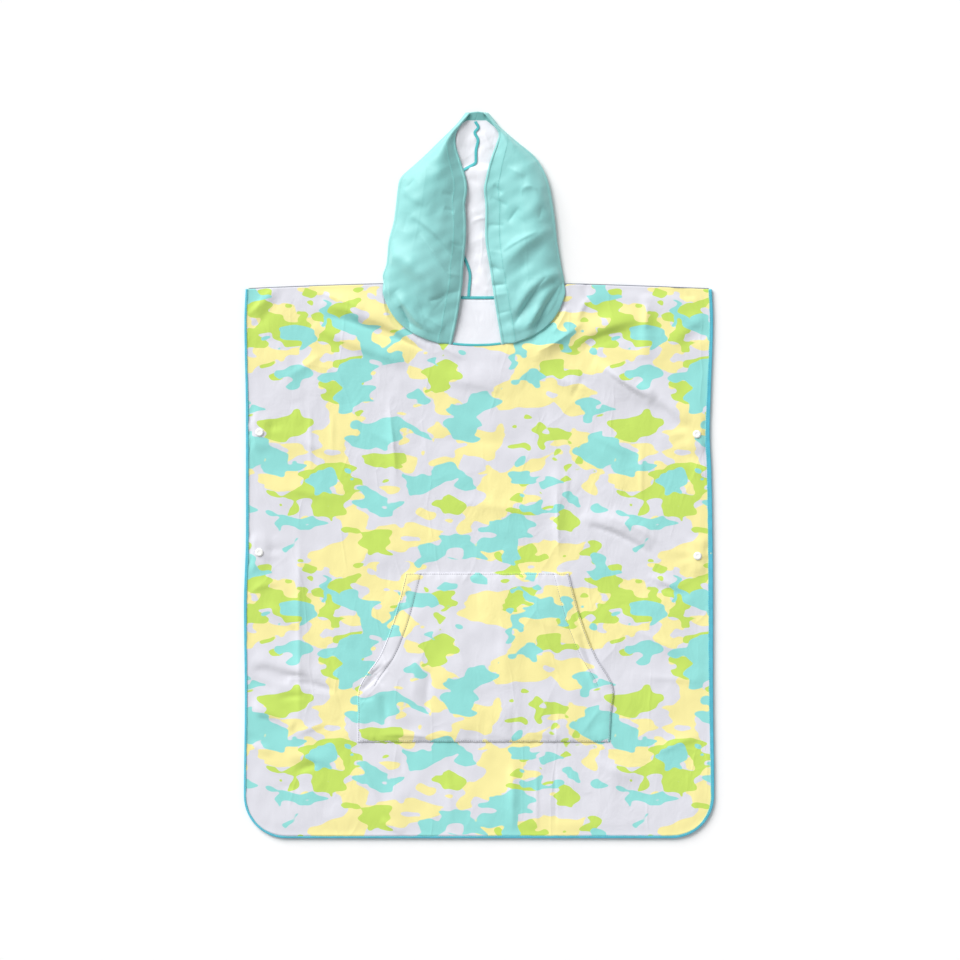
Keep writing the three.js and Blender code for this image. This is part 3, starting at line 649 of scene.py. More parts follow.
# %% How the body lies
FRONT_BASE = 2.8
EDGE_RISE = {"height": 0.7, "reach": 9.0}
SNAPS = [
    {"name": "upper_left", "x": -285.0, "y": 55.5},
    {"name": "lower_left", "x": -285.5, "y": -100.6},
    {"name": "upper_right", "x": 283.0, "y": 53.0},
    {"name": "lower_right", "x": 284.0, "y": -105.2},
]
SNAP_FLAT = {"x": 8.5, "y": 13.5, "reach_x": 11.0, "reach_y": 30.0}
SNAP_LIFT = 2.3
POCKET_CLEAR = {"left": -172, "right": 188, "low": -360, "high": -114, "fade": 26}
BODY_RIDGES = [
    (-60, 168, -206, 226, 8, 4.4, 2.2, 4),
    (-92, 146, -216, 196, 8, 3.6, 2.0, -3),
    (216, 150, 217, 236, 7, 3.0, 1.6, 0),
    (140, 204, 66, 152, 8, 2.4, 2.2, -4),
    (214, 204, 112, 166, 8, 3.8, 2.0, 6),
    (150, 150, 232, 100, 7, 4.8, 2.0, 4),
    (290, 64, 208, 120, 8, 4.2, 1.8, -4),
    (226, -96, 132, -54, 7, 3.6, 2.0, 5),
    (-184, -280, -296, -240, 7, 2.8, 2.0, 5),
    (-240, -328, -298, -296, 6, 4.0, 1.8, -4),
    (-190, -374, -250, -364, 8, 2.2, 1.4, 2),
    (208, -398, 142, -368, 8, 2.4, 1.6, 2),
    (-116, 108, -108, -24, 9, 1.7),
    (102, 26, 104, -118, 8, 1.7),
    (44, -350, 44, -462, 8, 1.5),
    (-234, -56, -232, -340, 9, 1.5),
    (296, 206, 250, 168, 8, 2.6, 1.6, 3),
    (-262, 176, -236, 96, 10, 2.2, 1.4, 0),
    (60, 116, -50, 128, 13, 1.8, 1.3, 5),
]
BODY_CREASES = [
    (-300, 208, -266, 248, 3.0, 3.1, 2.4, 2),
    (-296, 190, -256, 240, 3.5, -2.3, 1.8, 3),
    (-66, 160, -200, 208, 3.5, -3.4, 1.8, 3),
    (-132, 184, -184, 230, 3.5, 2.6, 2.0, -2),
    (-150, 214, -214, 238, 3.0, 2.0, 2.0, 2),
    (-20, 150, -66, 172, 5, 2.1, 2.0, 2),
    (257, 248, 281, 231, 2.6, -2.9, 2.2, 2),
    (266, 204, 298, 178, 4, -2.9, 2.0, 2),
    (134, 198, 76, 160, 3.4, 3.0, 3.0, -3),
    (198, 182, 136, 163, 4, -3.4, 1.6, 5),
    (217, 190, 218, 222, 2.4, 2.1, 1.6, 0),
    (163, 136, 220, 98, 2.6, -3.4, 2.0, 2),
    (164, 142, 218, 104, 3, 2.9, 2.6, 2),
    (226, 110, 272, 60, 5, -3.9, 2.2, 3),
    (119, 98, 136, 128, 3, -1.8, 2.0, 0),
    (97, 184, 117, 221, 3, 2.6, 2.2, 0),
    (115, 228, 123, 206, 3, -1.8, 1.6, 2),
    (139, 248, 143, 224, 2.4, -2.1, 2.0, 2),
    (144, 232, 129, 200, 3, 2.3, 2.0, 2),
    (84, 132, 150, 108, 5, 1.6, 2.0, 0),
    (224, -104, 144, -66, 3, -3.1, 1.8, 5),
    (240, -90, 158, -52, 4, 2.0, 2.0, 4),
    (264, -152, 220, -132, 3, 2.6, 2.0, 2),
    (272, -160, 232, -146, 3, -1.7, 1.6, 2),
    (297, -4, 275, 18, 2.6, 1.8, 2.0, 0),
    (168, -198, 144, -174, 5, -2.1, 1.6, 0),
    (-240, -200, -278, -170, 3, 2.3, 2.2, 2),
    (-262, -139, -296, -149, 3, 1.6, 2.0, 0),
    (-248, -270, -293, -253, 2.6, -3.4, 2.0, 2),
    (-214, -266, -262, -262, 2.4, -2.4, 1.8, 3),
    (-266, -282, -298, -268, 2.2, -2.2, 1.8, 1),
    (-226, -288, -262, -292, 2.4, -1.8, 1.6, 2),
    (-198, -322, -236, -336, 2.4, 1.6, 1.8, 0),
    (-180, -284, -244, -268, 3.5, -2.9, 1.8, 2),
    (-248, -330, -286, -314, 3, -3.4, 2.0, 2),
    (-270, -364, -296, -350, 3, 2.1, 2.0, 0),
    (-208, -375, -238, -385, 3, -2.1, 1.8, 0),
    (-234, -410, -258, -402, 3, -1.7, 1.8, 0),
    (-98, -468, -128, -448, 3, 2.1, 2.0, 0),
    (-40, -463, -57, -444, 3, -1.6, 1.8, 0),
    (-104, -348, -99, -388, 2.4, -1.7, 1.8, 0),
    (-234, -79, -234, -328, 2.2, 1.2, 1.6, 0),
    (-220, 91, -219, -6, 2.2, 1.3, 1.6, 0),
    (-191, 82, -191, 26, 2.2, 1.2, 1.6, 0),
    (-117, 94, -107, -5, 2.2, 1.4, 1.6, 0),
    (75, -378, 75, -460, 2.2, 1.2, 1.6, 0),
    (44, -360, 44, -466, 2.2, 1.0, 1.4, 0),
    (114, 8, 114, -36, 2.2, 1.3, 1.6, 0),
    (101, -18, 104, -112, 2.2, 1.2, 1.6, 0),
    (213, 44, 212, -44, 2.2, 1.4, 1.6, 0),
    (-40, -366, -36, -456, 3, 0.9, 1.6, 0),
    (-152, -374, -120, -444, 4, 1.3, 1.8, 2),
    (286, -340, 232, -362, 4, 2.0, 1.8, 2),
    (-196, -452, -234, -410, 4, 1.4, 1.8, 0),
    (98, -352, 100, -464, 2.2, -0.9, 1.6, 0),
    (-201, -218, -184, -262, 3, -1.3, 2.0, 0),
    (-300, -336, -276, -352, 3, -1.5, 1.8, 0),
    (262, -234, 200, -200, 4, 1.7, 2.0, 2),
    (288, -268, 212, -262, 4, 1.4, 1.8, 0),
    (44, 104, -42, 122, 6, 1.6, 1.8, 3),
    (66, 36, -62, 45, 7, -1.2, 1.8, 3),
    (94, -54, -36, -36, 6, 1.2, 1.8, 3),
    (-90, 28, -152, 62, 5, 1.4, 1.8, 0),
    (-128, -150, -160, -88, 5, 1.3, 1.8, 0),
    (198, 26, 148, 52, 5, 1.6, 1.8, 0),
    (-176, 20, -238, 44, 6, 1.4, 1.8, 2),
    (-188, -32, -262, -18, 5, 1.2, 1.8, 2),
    (-252, 128, -204, 158, 5, 1.8, 1.8, 2),
]
UNEVEN = {"height": 0.42, "shortest": 50.0, "longest": 190.0}
RUMPLED = {"height": 0.2, "shortest": 18.0, "longest": 60.0}
DEEPEST = {"depth": 0.55, "round": 0.4}
PUCKERS = {"count": 7, "reach": 34.0, "height": 0.5}
SETTLE = {"folds": 16.0, "creases": 6.0}


def near_snap(x, y):
    """1 over each snap's flat place, falling to 0 round it."""
    across = [x - snap["x"] - side_inset(snap["x"], snap["y"]) for snap in SNAPS]
    along = [y - snap["y"] for snap in SNAPS]
    flat = SNAP_FLAT
    near = [fade(a, flat["x"], flat["reach_x"]) * fade(b, flat["y"], flat["reach_y"])
            for a, b in zip(across, along)]
    return np.maximum.reduce(near)


def snap_puckers(x, y):
    """Small rays round each snap: cos(count * angle) times a bump that is 0 at the snap and at reach."""
    total = np.zeros(np.shape(x))
    for turn, snap in enumerate(SNAPS):
        away_x, away_y = x - snap["x"], y - snap["y"]
        away = np.hypot(away_x, away_y) / PUCKERS["reach"]
        rays = np.cos(PUCKERS["count"] * np.arctan2(away_y, away_x) + 1.7 * turn)
        total += PUCKERS["height"] * rays * np.clip(4 * away * (1 - away), 0, 1) * rise(away, 0.25, 0.5)
    return total


def clear_of_pocket(x, y):
    """0 under the pocket, rising to 1 outside it."""
    clear = POCKET_CLEAR
    outside = np.maximum.reduce([clear["left"] - x, x - clear["right"], clear["low"] - y, y - clear["high"]])
    return np.clip(outside / clear["fade"], 0, 1)


def front_height(x, y):
    """Top of the front panel: a level base, the rise to edge and snaps, ridges, creases, unevenness. The
    sum s of the folds is held above the back panel by (s + sqrt(s^2 + round^2)) / 2."""
    from_edge = np.minimum(PANEL["half"] - np.abs(x), y - hem_edge(x))
    from_top = np.maximum(0, top_edge(x, NECK["front"]) - y)
    near = near_snap(x, y)
    edge_rise = EDGE_RISE["height"] * np.maximum(0, 1 - from_edge / EDGE_RISE["reach"]) ** 2
    calm = 1 - near
    outside_pocket = clear_of_pocket(x, y)
    settle = SETTLE["folds"]
    inner = np.clip(from_edge / settle, 0, 1) * (1 - fade(from_top / settle, 0, 1))
    ridges = folds_at(BODY_RIDGES, x, y) * outside_pocket * inner
    creases = folds_at(BODY_CREASES, x, y, CRISP) * np.clip(from_edge / SETTLE["creases"], 0, 1)
    uneven = UNEVEN["height"] * (unevenness(x, y, 5, UNEVEN["shortest"], UNEVEN["longest"]) + 1)
    rumpled = RUMPLED["height"] * (unevenness(x, y, 7, RUMPLED["shortest"], RUMPLED["longest"]) + 1)
    soft = (creases + snap_puckers(x, y)) * outside_pocket + (uneven + rumpled) * inner
    deepest = DEEPEST["depth"]
    lying = ridges + soft + deepest
    lying = 0.5 * (lying + np.sqrt(lying**2 + DEEPEST["round"] ** 2)) - deepest
    return FRONT_BASE + np.maximum(edge_rise, SNAP_LIFT * near) + calm * lying


front_x, front_y = panel_plan(front_columns, FRONT_ROWS, NECK["front"])
front_top = as_points(front_x - side_inset(front_x, front_y), front_y, front_height(front_x, front_y))
front_under = front_top - np.array([0, 0, CLOTH])
front_cloth = shell("front_cloth", front_top, front_under, [front_print, inside_white, front_print], skip=2)
dress(front_cloth, "camouflage_cloth", "front_panel")
front_area = area_of(front_top)
print("front cloth area in square metres:", round(front_area, 4))

# %% [markdown]
# ## The back
# The back lies print side down on the table, so it is flat underneath. Its plain inside shows through the
# neck, a little creased there. Its grid may be coarser, for little more than the lift at the snaps bends it.

# %% Back
BACK_CREASES = [
    (-17, 224, 10, 212, 3.5, 0.8, 1.6, 2),
    (13, 221, 20, 194, 3, 0.9, 1.6, 0),
    (-24, 196, -2, 204, 4, 0.6, 1.6, 0),
    (-6, 190, 8, 176, 4, 0.5, 1.6, 0),
]
BACK_RUMPLED = {"height": 0.12, "shortest": 30.0, "longest": 120.0}
BACK_EDGE = {"rise": 0.5, "reach": 8.0}
back_columns = panel_columns(13, 26, 22)
back_x, back_y = panel_plan(back_columns, BACK_ROWS, NECK["back"])
lift = SNAP_LIFT * near_snap(back_x, back_y)
back_plan_x = back_x - side_inset(back_x, back_y)
rumple = unevenness(back_x, back_y, 11, BACK_RUMPLED["shortest"], BACK_RUMPLED["longest"]) + 1
rumple = BACK_RUMPLED["height"] * rumple * (1 - near_snap(back_x, back_y))
rumple = rumple + folds_at(BACK_CREASES, back_x, back_y, CRISP)
back_from_edge = np.minimum(PANEL["half"] - np.abs(back_x), back_y - hem_edge(back_x))
into_binding = BACK_EDGE["rise"] * np.maximum(0, 1 - back_from_edge / BACK_EDGE["reach"]) ** 2
back_top = as_points(back_plan_x, back_y, CLOTH + lift + rumple + into_binding)
back_under = as_points(back_plan_x, back_y, lift + into_binding)
back_cloth = shell("back_cloth", back_top, back_under, [inside_white, back_print, back_print])
dress(back_cloth, "camouflage_cloth", "back_panel")
back_area = area_of(back_under)
print("back cloth area in square metres:", round(back_area, 4))


# %% [markdown]
# ## Sewing
# A row of lockstitches is one mesh: a small bead, pointed at both ends, is repeated along a path. All the
# beads are placed at once with arrays, each turned along the path and bedded a little into the cloth.

# %% Sewing
STITCH = {"pitch": 2.9, "length": 2.4, "radius": 0.38, "sides": 6, "bed": 0.08}


def spaced(path, spacing):
    """The path read again at even distances along it."""
    steps_along = np.linalg.norm(np.diff(path, axis=0), axis=1)
    length = np.concatenate([[0], np.cumsum(steps_along)])
    at = np.linspace(0, length[-1], max(2, round(length[-1] / spacing) + 1))
    return np.stack([np.interp(at, length, path[:, k]) for k in range(path.shape[1])], axis=1)


def unit(vectors):
    return vectors / np.maximum(np.linalg.norm(vectors, axis=-1, keepdims=True), 1e-9)


def stitch_row(path, up=(0, 0, 1)):
    """Points and faces of the beads along one path. Ring k of a bead stands at t = -1, 0, 1 half lengths
    with the radius 0.3, 1 and 0.3, and each ring has the points radius * (cos a, 0.8 sin a)."""
    even = spaced(path, STITCH["pitch"])
    middle = (even[1:] + even[:-1]) / 2
    along = unit(even[1:] - even[:-1])
    up = np.broadcast_to(np.asarray(up, float), middle.shape)
    side = unit(np.cross(along, up))
    top = np.cross(side, along)
    angle = np.linspace(0, 2 * np.pi, STITCH["sides"], endpoint=False)
    where, size = np.array([-1, 0, 1.0]), np.array([0.3, 1, 0.3])
    ring_side = (STITCH["radius"] * size[:, None] * np.cos(angle)[None])[None, :, :, None]
    ring_top = (STITCH["radius"] * 0.8 * size[:, None] * np.sin(angle)[None])[None, :, :, None]
    shift = (where * STITCH["length"] / 2)[None, :, None, None]
    rise_by = STITCH["bed"]
    bead = middle[:, None, None] + shift * along[:, None, None] + ring_side * side[:, None, None]
    bead = bead + ring_top * top[:, None, None] + rise_by * top[:, None, None]
    count = STITCH["sides"]
    k = np.arange(count)
    after = (k + 1) % count
    tube = np.concatenate([np.stack([k, after, after + count, k + count], axis=1),
                           np.stack([k, after, after + count, k + count], axis=1) + count])
    ends = np.array([[0, 3, 2, 1], [0, 5, 4, 3], [12, 13, 14, 15], [12, 15, 16, 17]])
    one = np.concatenate([tube, ends])
    faces = one[None] + (np.arange(len(middle)) * 3 * count)[:, None, None]
    return bead.reshape(-1, 3), faces.reshape(-1, 4)


def sewing(name, paths, material, up=(0, 0, 1)):
    """One mesh with the stitches of several paths."""
    all_points, all_faces, start = [], [], 0
    for path in paths:
        points, faces = stitch_row(path, up)
        all_points.append(points)
        all_faces.append(faces + start)
        start += len(points)
    return make_mesh(name, np.concatenate(all_points), np.concatenate(all_faces), [material])


# %% [markdown]
# ## Painted shadow at the shoulder seams
# Front and back are joined along the shoulders by a seam, and the narrow gap between the two layers there
# lies in
# shade. That shade is painted: a strip of round section in dark grey is carried along each shoulder as a thin
# dark line.

# %% Shoulder seam shadows
SHOULDER_SHADOW_STRIP = {"radius": 0.9, "out": 0.35, "height": 2.1, "steps": 90}


def shoulder_shadow_strip(name, start, end):
    """Round strip of painted shadow along one shoulder. With c from -1 to 1 across it, y = top edge + out +
    radius * c, and z = height + or - radius * sqrt(1 - c^2)."""
    x = np.linspace(start, end, SHOULDER_SHADOW_STRIP["steps"])[:, None]
    across = np.linspace(-0.95, 0.95, 7)[None]
    half = SHOULDER_SHADOW_STRIP["radius"] * np.sqrt(1 - across**2)
    y = top_edge(x, 0) + SHOULDER_SHADOW_STRIP["out"] + SHOULDER_SHADOW_STRIP["radius"] * across
    x = x + 0 * y
    upper = as_points(x, y, SHOULDER_SHADOW_STRIP["height"] + half)
    lower = as_points(x, y, SHOULDER_SHADOW_STRIP["height"] - half)
    # The strip's grey is painted shadow for the gap between the layers at the shoulder.
    strip = shell(name, upper, lower, [grey_thread_and_shade, grey_thread_and_shade, grey_thread_and_shade])
    return dress(strip, "camouflage_cloth")


shoulder_shadow_strip("shoulder_shadow_strip_left", -299.5, NECK["middle"] - NECK["left"])
shoulder_shadow_strip("shoulder_shadow_strip_right", NECK["middle"] + NECK["right"], 298.5)

# %% [markdown]
# ## Binding
# The open edges are bound with a folded tape: it wraps the raw edge from above and below, and one row of
# stitches holds both halves. The tape is a thin wall whose profile is a letter C, carried along the edge,
# and the pull of the stitches makes its inner edge wander and its back swell a little between them.

# %% Binding
TAPE_WALL = 0.42
BINDING = {"outer": 2.1, "half_height": 0.74, "front_middle": 3.05, "back_middle": 0.95, "step": 2.3}
BINDING_SEAM = 0.7
TAPE_SWELL = {"by": 0.10, "shortest": 5, "longest": 14, "least": 0.8, "most": 1.18}
TAPE_WANDER = {"by": 0.2, "shortest": 8, "longest": 40}
TAPE_SHOWN = [
    {"y": -472, "left": 2.8, "right": 3.4},
    {"y": -400, "left": 3.0, "right": 4.4},
    {"y": -250, "left": 3.4, "right": 5.6},
    {"y": -100, "left": 4.0, "right": 6.2},
    {"y": 60, "left": 3.6, "right": 5.6},
    {"y": 160, "left": 3.2, "right": 4.6},
    {"y": 248, "left": 3.0, "right": 4.2},
]


def binding_edge(grid):
    """The bound edge of a panel, down the left side, along the hem and up the right side."""
    return np.concatenate([grid[::-1, 0], grid[0, 1:-1], grid[:, -1]])


def c_profile(turns=9, flats=5):
    """Middle line of the folded tape as (share, out, up). It runs in over the cloth's top, round the fold
    and back below, and share is 1 at the tape's inner edge and 0 at the fold, so that the tape may lap
    the cloth by more or less."""
    half = BINDING["half_height"]
    fold = BINDING["outer"] - half - TAPE_WALL / 2
    share = np.linspace(1, 0, flats, endpoint=False)
    angle = np.linspace(np.pi / 2, -np.pi / 2, turns)
    upper = np.stack([share, np.full(flats, fold), np.full(flats, half)], axis=1)
    arc = np.stack([0 * angle, fold + half * np.cos(angle), half * np.sin(angle)], axis=1)
    lower = upper[::-1] * [1, 1, -1]
    return np.concatenate([upper, arc, lower])


def bound(name, grid, middle_height, seed, *nodes):
    """The C profile carried along a panel's edge. Its lap follows the width that shows, and puckers run
    along its length. Returns the path of its seam."""
    path = spaced(binding_edge(grid), BINDING["step"])
    along = unit(np.gradient(path[:, :2], axis=0))
    outward = np.stack([along[:, 1], -along[:, 0]], axis=1)
    right = rise(path[:, 0], -40, 40)
    shown_left = read(TAPE_SHOWN, "y", "left", path[:, 1])
    shown_right = read(TAPE_SHOWN, "y", "right", path[:, 1])
    shown = shown_left * (1 - right) + shown_right * right
    where = np.arange(len(path)) * BINDING["step"]
    swell = unevenness(where, 0 * where, seed, TAPE_SWELL["shortest"], TAPE_SWELL["longest"])
    swell = np.clip(1 + TAPE_SWELL["by"] * swell, TAPE_SWELL["least"], TAPE_SWELL["most"])
    wander = unevenness(where, 0 * where, seed + 1, TAPE_WANDER["shortest"], TAPE_WANDER["longest"])
    wander = TAPE_WANDER["by"] * wander
    share, out_line, up_line = c_profile().T
    flat_width = (shown + wander - BINDING["half_height"] - TAPE_WALL / 2)[:, None]
    layers = []
    for side in (1, -1):
        out = out_line[None] - share[None] * flat_width
        height = np.broadcast_to(up_line[None], out.shape)
        in_step = np.stack([np.gradient(out, axis=1), np.gradient(height, axis=1)], axis=-1)
        in_step = unit(in_step)
        out = out - in_step[..., 1] * side * TAPE_WALL / 2
        height = height + in_step[..., 0] * side * TAPE_WALL / 2
        height = height * (1 + (swell[:, None] - 1) * (1 - share[None]))
        height = np.maximum(height, -BINDING["half_height"] - TAPE_WALL / 2)
        x = path[:, None, 0] + outward[:, None, 0] * out
        y = path[:, None, 1] + outward[:, None, 1] * out
        layers.append(as_points(x, y, middle_height + height))
    tape = shell(name, layers[0], layers[1], [binding_tape, binding_tape, binding_tape])
    dress(tape, "binding", *nodes)
    seam = path.copy()
    seam[:, :2] += outward * (BINDING["outer"] - shown + BINDING_SEAM)[:, None]
    return seam


front_sides = ["binding_front_left", "binding_front_hem", "binding_front_right"]
back_sides = ["binding_back_left", "binding_back_hem", "binding_back_right"]
front_seam = bound("binding_front", front_top, BINDING["front_middle"], 21, *front_sides)
bound("binding_back", back_top, BINDING["back_middle"], 31, *back_sides)
tape_top = BINDING["half_height"] + TAPE_WALL / 2
front_seam[:, 2] = BINDING["front_middle"] + tape_top
binding_stitches = sewing("binding_stitches", [front_seam], thread_teal)
dress(binding_stitches, "binding")

# %% [markdown]
# ## Pocket
# The kangaroo pocket is one piece sewn on along its top, bottom and short sides. Its slanted sides are
# the hand openings: their edges are turned in about 17 mm and sewn twice. The pocket lies close at its
# seams and swells between them, and the turned hems stand a little higher than the single cloth.

# %% Pocket
POCKET_SIDES = [
    {"y": -347, "left": -158, "right": 170},
    {"y": -311, "left": -157.5, "right": 172},
    {"y": -275, "left": -155.5, "right": 174},
    {"y": -236, "left": -130, "right": 152},
    {"y": -199, "left": -114.5, "right": 136.5},
    {"y": -163, "left": -104, "right": 125.5},
    {"y": -127, "left": -95, "right": 116},
]
POCKET = {"low": -347.0, "high": -127.0, "corner": -275.0, "bulge": 2.8, "fullness": 0.6, "gap": 0.2}
POCKET_HEM = {"width": 17.0, "height": 0.45, "groove": 0.5, "groove_width": 1.5, "edge_seam": 1.7}
POCKET_UNEVEN = {"height": 0.3, "shortest": 24.0, "longest": 90.0}
POCKET_PUCKERS = {"height": 0.22, "shortest": 7.0, "longest": 16.0, "reach": 9.0}
POCKET_SEAM = {"depth": 0.3, "width": 1.3}
POCKET_ROWS = {"top_middle": 10.5, "top_half": 104.0, "low_middle": 6.0, "low_half": 161.0}
SLANT_NARROWS = 0.12
POCKET_FOLDS = [
    (-86, -134, -126, -232, 4, -1.0, 1.6, 0),
    (-88, -149, -106, -153, 2, 0.9, 1.6, 0),
    (-92, -160, -108, -165, 2, 0.8, 1.6, 0),
    (-93, -168, -112, -175, 2, 0.9, 1.6, 0),
    (-104, -196, -122, -204, 2, 0.7, 1.6, 0),
    (-122, -250, -150, -274, 2.6, -1.8, 1.6, 0),
    (-130, -262, -153, -280, 1.8, -2.4, 1.6, 0),
    (-124, -246, -143, -262, 1.8, -2.0, 1.6, 0),
    (-136, -288, -157, -294, 1.8, -1.6, 1.6, 0),
    (-142, -252, -124, -274, 2.0, -1.6, 1.6, 0),
    (-112, -238, -146, -262, 4, 1.4, 1.8, 0),
    (-125, -286, -118, -326, 2.8, -2.0, 2.0, 0),
    (-44, -192, -64, -214, 6, 0.9, 1.6, 0),
    (-65, -252, -69, -312, 6, -2.4, 1.4, 0),
    (-82, -238, -86, -300, 8, 1.4, 1.4, 0),
    (-58, -343, -128, -338, 5, 2.2, 1.4, 3),
    (-34, -342, -60, -334, 4, 1.0, 1.6, 0),
    (100, -150, 132, -196, 3, -0.9, 1.6, 0),
    (132, -206, 160, -276, 4.5, -2.8, 1.6, 2),
    (122, -172, 138, -214, 3, -1.4, 1.6, 0),
    (126, -216, 158, -292, 3, 1.6, 1.4, 0),
    (116, -196, 150, -290, 4, -1.4, 1.6, 0),
    (26, -150, 38, -296, 9, 0.9, 1.4, 0),
    (46, -298, 44, -346, 2.6, -1.2, 1.6, 0),
    (98, -284, 97, -346, 2.6, -0.9, 1.6, 0),
    (-6, -134, 0, -188, 5, -0.8, 1.6, 0),
    (160, -300, 132, -338, 4, 1.0, 1.6, 0),
    (110, -338, 62, -334, 4, 0.9, 1.6, 0),
    (60, -180, 100, -200, 6, 0.8, 1.6, 0),
]


def pocket_sides(y):
    return read(POCKET_SIDES, "y", "left", y), read(POCKET_SIDES, "y", "right", y)


def pocket_height(x, y):
    """Top of the pocket: the front below it, a bulge sin * sin, the folds, and the hems with a groove
    at their seam."""
    left, right = pocket_sides(y)
    across = np.clip((x - left) / (right - left), 0, 1)
    up = np.clip((y - POCKET["low"]) / (POCKET["high"] - POCKET["low"]), 0, 1)
    inside = np.clip(np.sin(np.pi * across) * np.sin(np.pi * up), 0, 1)
    slant = rise(y, POCKET["corner"] - 4, POCKET["corner"] + 4)
    from_side = np.minimum(x - left, right - x) * (1 - SLANT_NARROWS * slant)
    from_end = np.minimum(y - POCKET["low"], POCKET["high"] - y)
    hem = slant * (1 - rise(from_side, POCKET_HEM["width"] - 1.5, POCKET_HEM["width"] + 1))
    groove = slant * np.exp(-(((from_side - POCKET_HEM["width"]) / POCKET_HEM["groove_width"]) ** 2))
    seam_side = np.minimum(np.where(slant > 0.5, 1e3, from_side), from_end)
    pressed = np.exp(-(((seam_side - POCKET_HEM["edge_seam"]) / POCKET_SEAM["width"]) ** 2))
    calm = np.clip(from_end / 8, 0, 1) * np.clip(from_side / 5, 0.35, 1)
    bulge = POCKET["bulge"] * inside ** POCKET["fullness"]
    uneven = unevenness(x, y, 17, POCKET_UNEVEN["shortest"], POCKET_UNEVEN["longest"]) + 1
    uneven = POCKET_UNEVEN["height"] * uneven * calm
    puckers = unevenness(x, y, 19, POCKET_PUCKERS["shortest"], POCKET_PUCKERS["longest"])
    puckers = POCKET_PUCKERS["height"] * puckers * np.exp(-((seam_side / POCKET_PUCKERS["reach"]) ** 2))
    raised = hem * POCKET_HEM["height"] - groove * POCKET_HEM["groove"] - POCKET_SEAM["depth"] * pressed
    folds = folds_at(POCKET_FOLDS, x, y, CRISP) * calm
    return front_height(x, y) + POCKET["gap"] + CLOTH + 0.3 * hem + bulge + raised + folds + uneven + puckers


hem_share = 22 / 260
pocket_across = np.concatenate([
    np.linspace(0, hem_share, 17, endpoint=False),
    np.linspace(hem_share, 1 - hem_share, 100, endpoint=False),
    np.linspace(1 - hem_share, 1, 18),
])
pocket_up = np.concatenate([
    np.linspace(0, 0.04, 7, endpoint=False),
    np.linspace(0.04, 0.96, 86, endpoint=False),
    np.linspace(0.96, 1, 8),
])
pocket_y = (POCKET["low"] + (POCKET["high"] - POCKET["low"]) * pocket_up)[:, None]
pocket_left, pocket_right = pocket_sides(pocket_y)
pocket_x = pocket_left + (pocket_right - pocket_left) * pocket_across[None]
pocket_y = np.broadcast_to(pocket_y, pocket_x.shape)
pocket_top = as_points(pocket_x, pocket_y, pocket_height(pocket_x, pocket_y))
pocket_under = pocket_top - np.array([0, 0, CLOTH])
pocket_cloth = shell("pocket_cloth", pocket_top, pocket_under, [pocket_print, inside_white, pocket_print])
dress(pocket_cloth, "camouflage_cloth", "pocket")
pocket_area = area_of(pocket_top)


def pocket_line(y, inset, side):
    """A line on the pocket at a distance in from one side."""
    left, right = pocket_sides(y)
    x = left + inset if side == "left" else right - inset
    return as_points(x, y, pocket_height(x, y))


slant_y = np.linspace(POCKET["corner"] + 1, POCKET["high"] - 1, 90)
short_y = np.linspace(POCKET["low"] + 2, POCKET["corner"], 40)
level_x = np.linspace(-1, 1, 160)
top_y, low_y = POCKET["high"] - POCKET_HEM["edge_seam"], POCKET["low"] + POCKET_HEM["edge_seam"]
top_x = POCKET_ROWS["top_middle"] + level_x * POCKET_ROWS["top_half"]
low_x = POCKET_ROWS["low_middle"] + level_x * POCKET_ROWS["low_half"]
pocket_lines = [pocket_line(slant_y, inset, side)
                for side in ("left", "right")
                for inset in (POCKET_HEM["edge_seam"], POCKET_HEM["width"] / (1 - SLANT_NARROWS))]
pocket_lines += [pocket_line(short_y, POCKET_HEM["edge_seam"], side) for side in ("left", "right")]
pocket_lines += [as_points(x, np.full(x.shape, y), pocket_height(x, np.full(x.shape, y)))
                 for x, y in ((top_x, top_y), (low_x, low_y))]
# The grey stitches are real thread and also painted shade along the pocket's stitch lines.
pocket_stitches = sewing("pocket_stitches", pocket_lines, grey_thread_and_shade)
dress(pocket_stitches, "camouflage_cloth")
print("pocket area in square metres:", round(pocket_area, 4))

# %% [markdown]
# ## Snaps
# Each snap is a pair of round plastic caps, one on the front and one on the back, with the working parts
# hidden between the layers. A cap is turned on a lathe in the mould: a thin rim, a soft shoulder, and a
# shallow dish with a ring round it. The profile is a short list of radii and heights, carried round.

# %% Snaps
CAP = {"radius": 5.35, "sides": 48, "front_base": 5.3, "back_base": 2.05}
CAP_PROFILE = [
    (0.0, 1.58), (1.2, 1.6), (2.2, 1.68), (2.7, 1.84), (3.2, 1.9), (3.7, 1.84), (4.2, 1.66),
    (4.7, 1.36), (5.05, 1.0), (5.27, 0.6), (5.35, 0.3), (5.3, 0.08), (5.1, 0.0), (2.5, 0.0), (0.0, 0.0),
]


def snap_cap(name, snap, base, way, node):
    """The profile (r, h) carried round: (x + r cos a, y + r sin a, base + way * h)."""
    profile = np.array(CAP_PROFILE)
    angle = np.linspace(0, 2 * np.pi, CAP["sides"] + 1)
    radius, height = profile[:, 0][:, None], profile[:, 1][:, None]
    points = as_points(snap["x"] + radius * np.cos(angle), snap["y"] + radius * np.sin(angle),
                       base + way * height + 0 * angle)
    flat = points.reshape(-1, 3)
    faces = grid_faces(*points.shape[:2])
    if signed_volume(flat, faces) < 0:
        faces = faces[:, ::-1]
    cap = make_mesh(name, flat, faces, [snap_plastic])
    close_seam(cap)
    return dress(cap, "snap_plastic", node)


def close_seam(thing):
    """Merges the doubled points at a lathe's seam and poles."""
    work = bmesh.new()
    work.from_mesh(thing.data)
    bmesh.ops.remove_doubles(work, verts=work.verts, dist=1e-6)
    bmesh.ops.dissolve_degenerate(work, edges=work.edges, dist=1e-7)
    work.to_mesh(thing.data)
    work.free()


for snap in SNAPS:
    snap_cap("cap_front_" + snap["name"], snap, CAP["front_base"], 1, "snap_front_" + snap["name"])
    snap_cap("cap_back_" + snap["name"], snap, CAP["back_base"], -1, "snap_back_" + snap["name"])


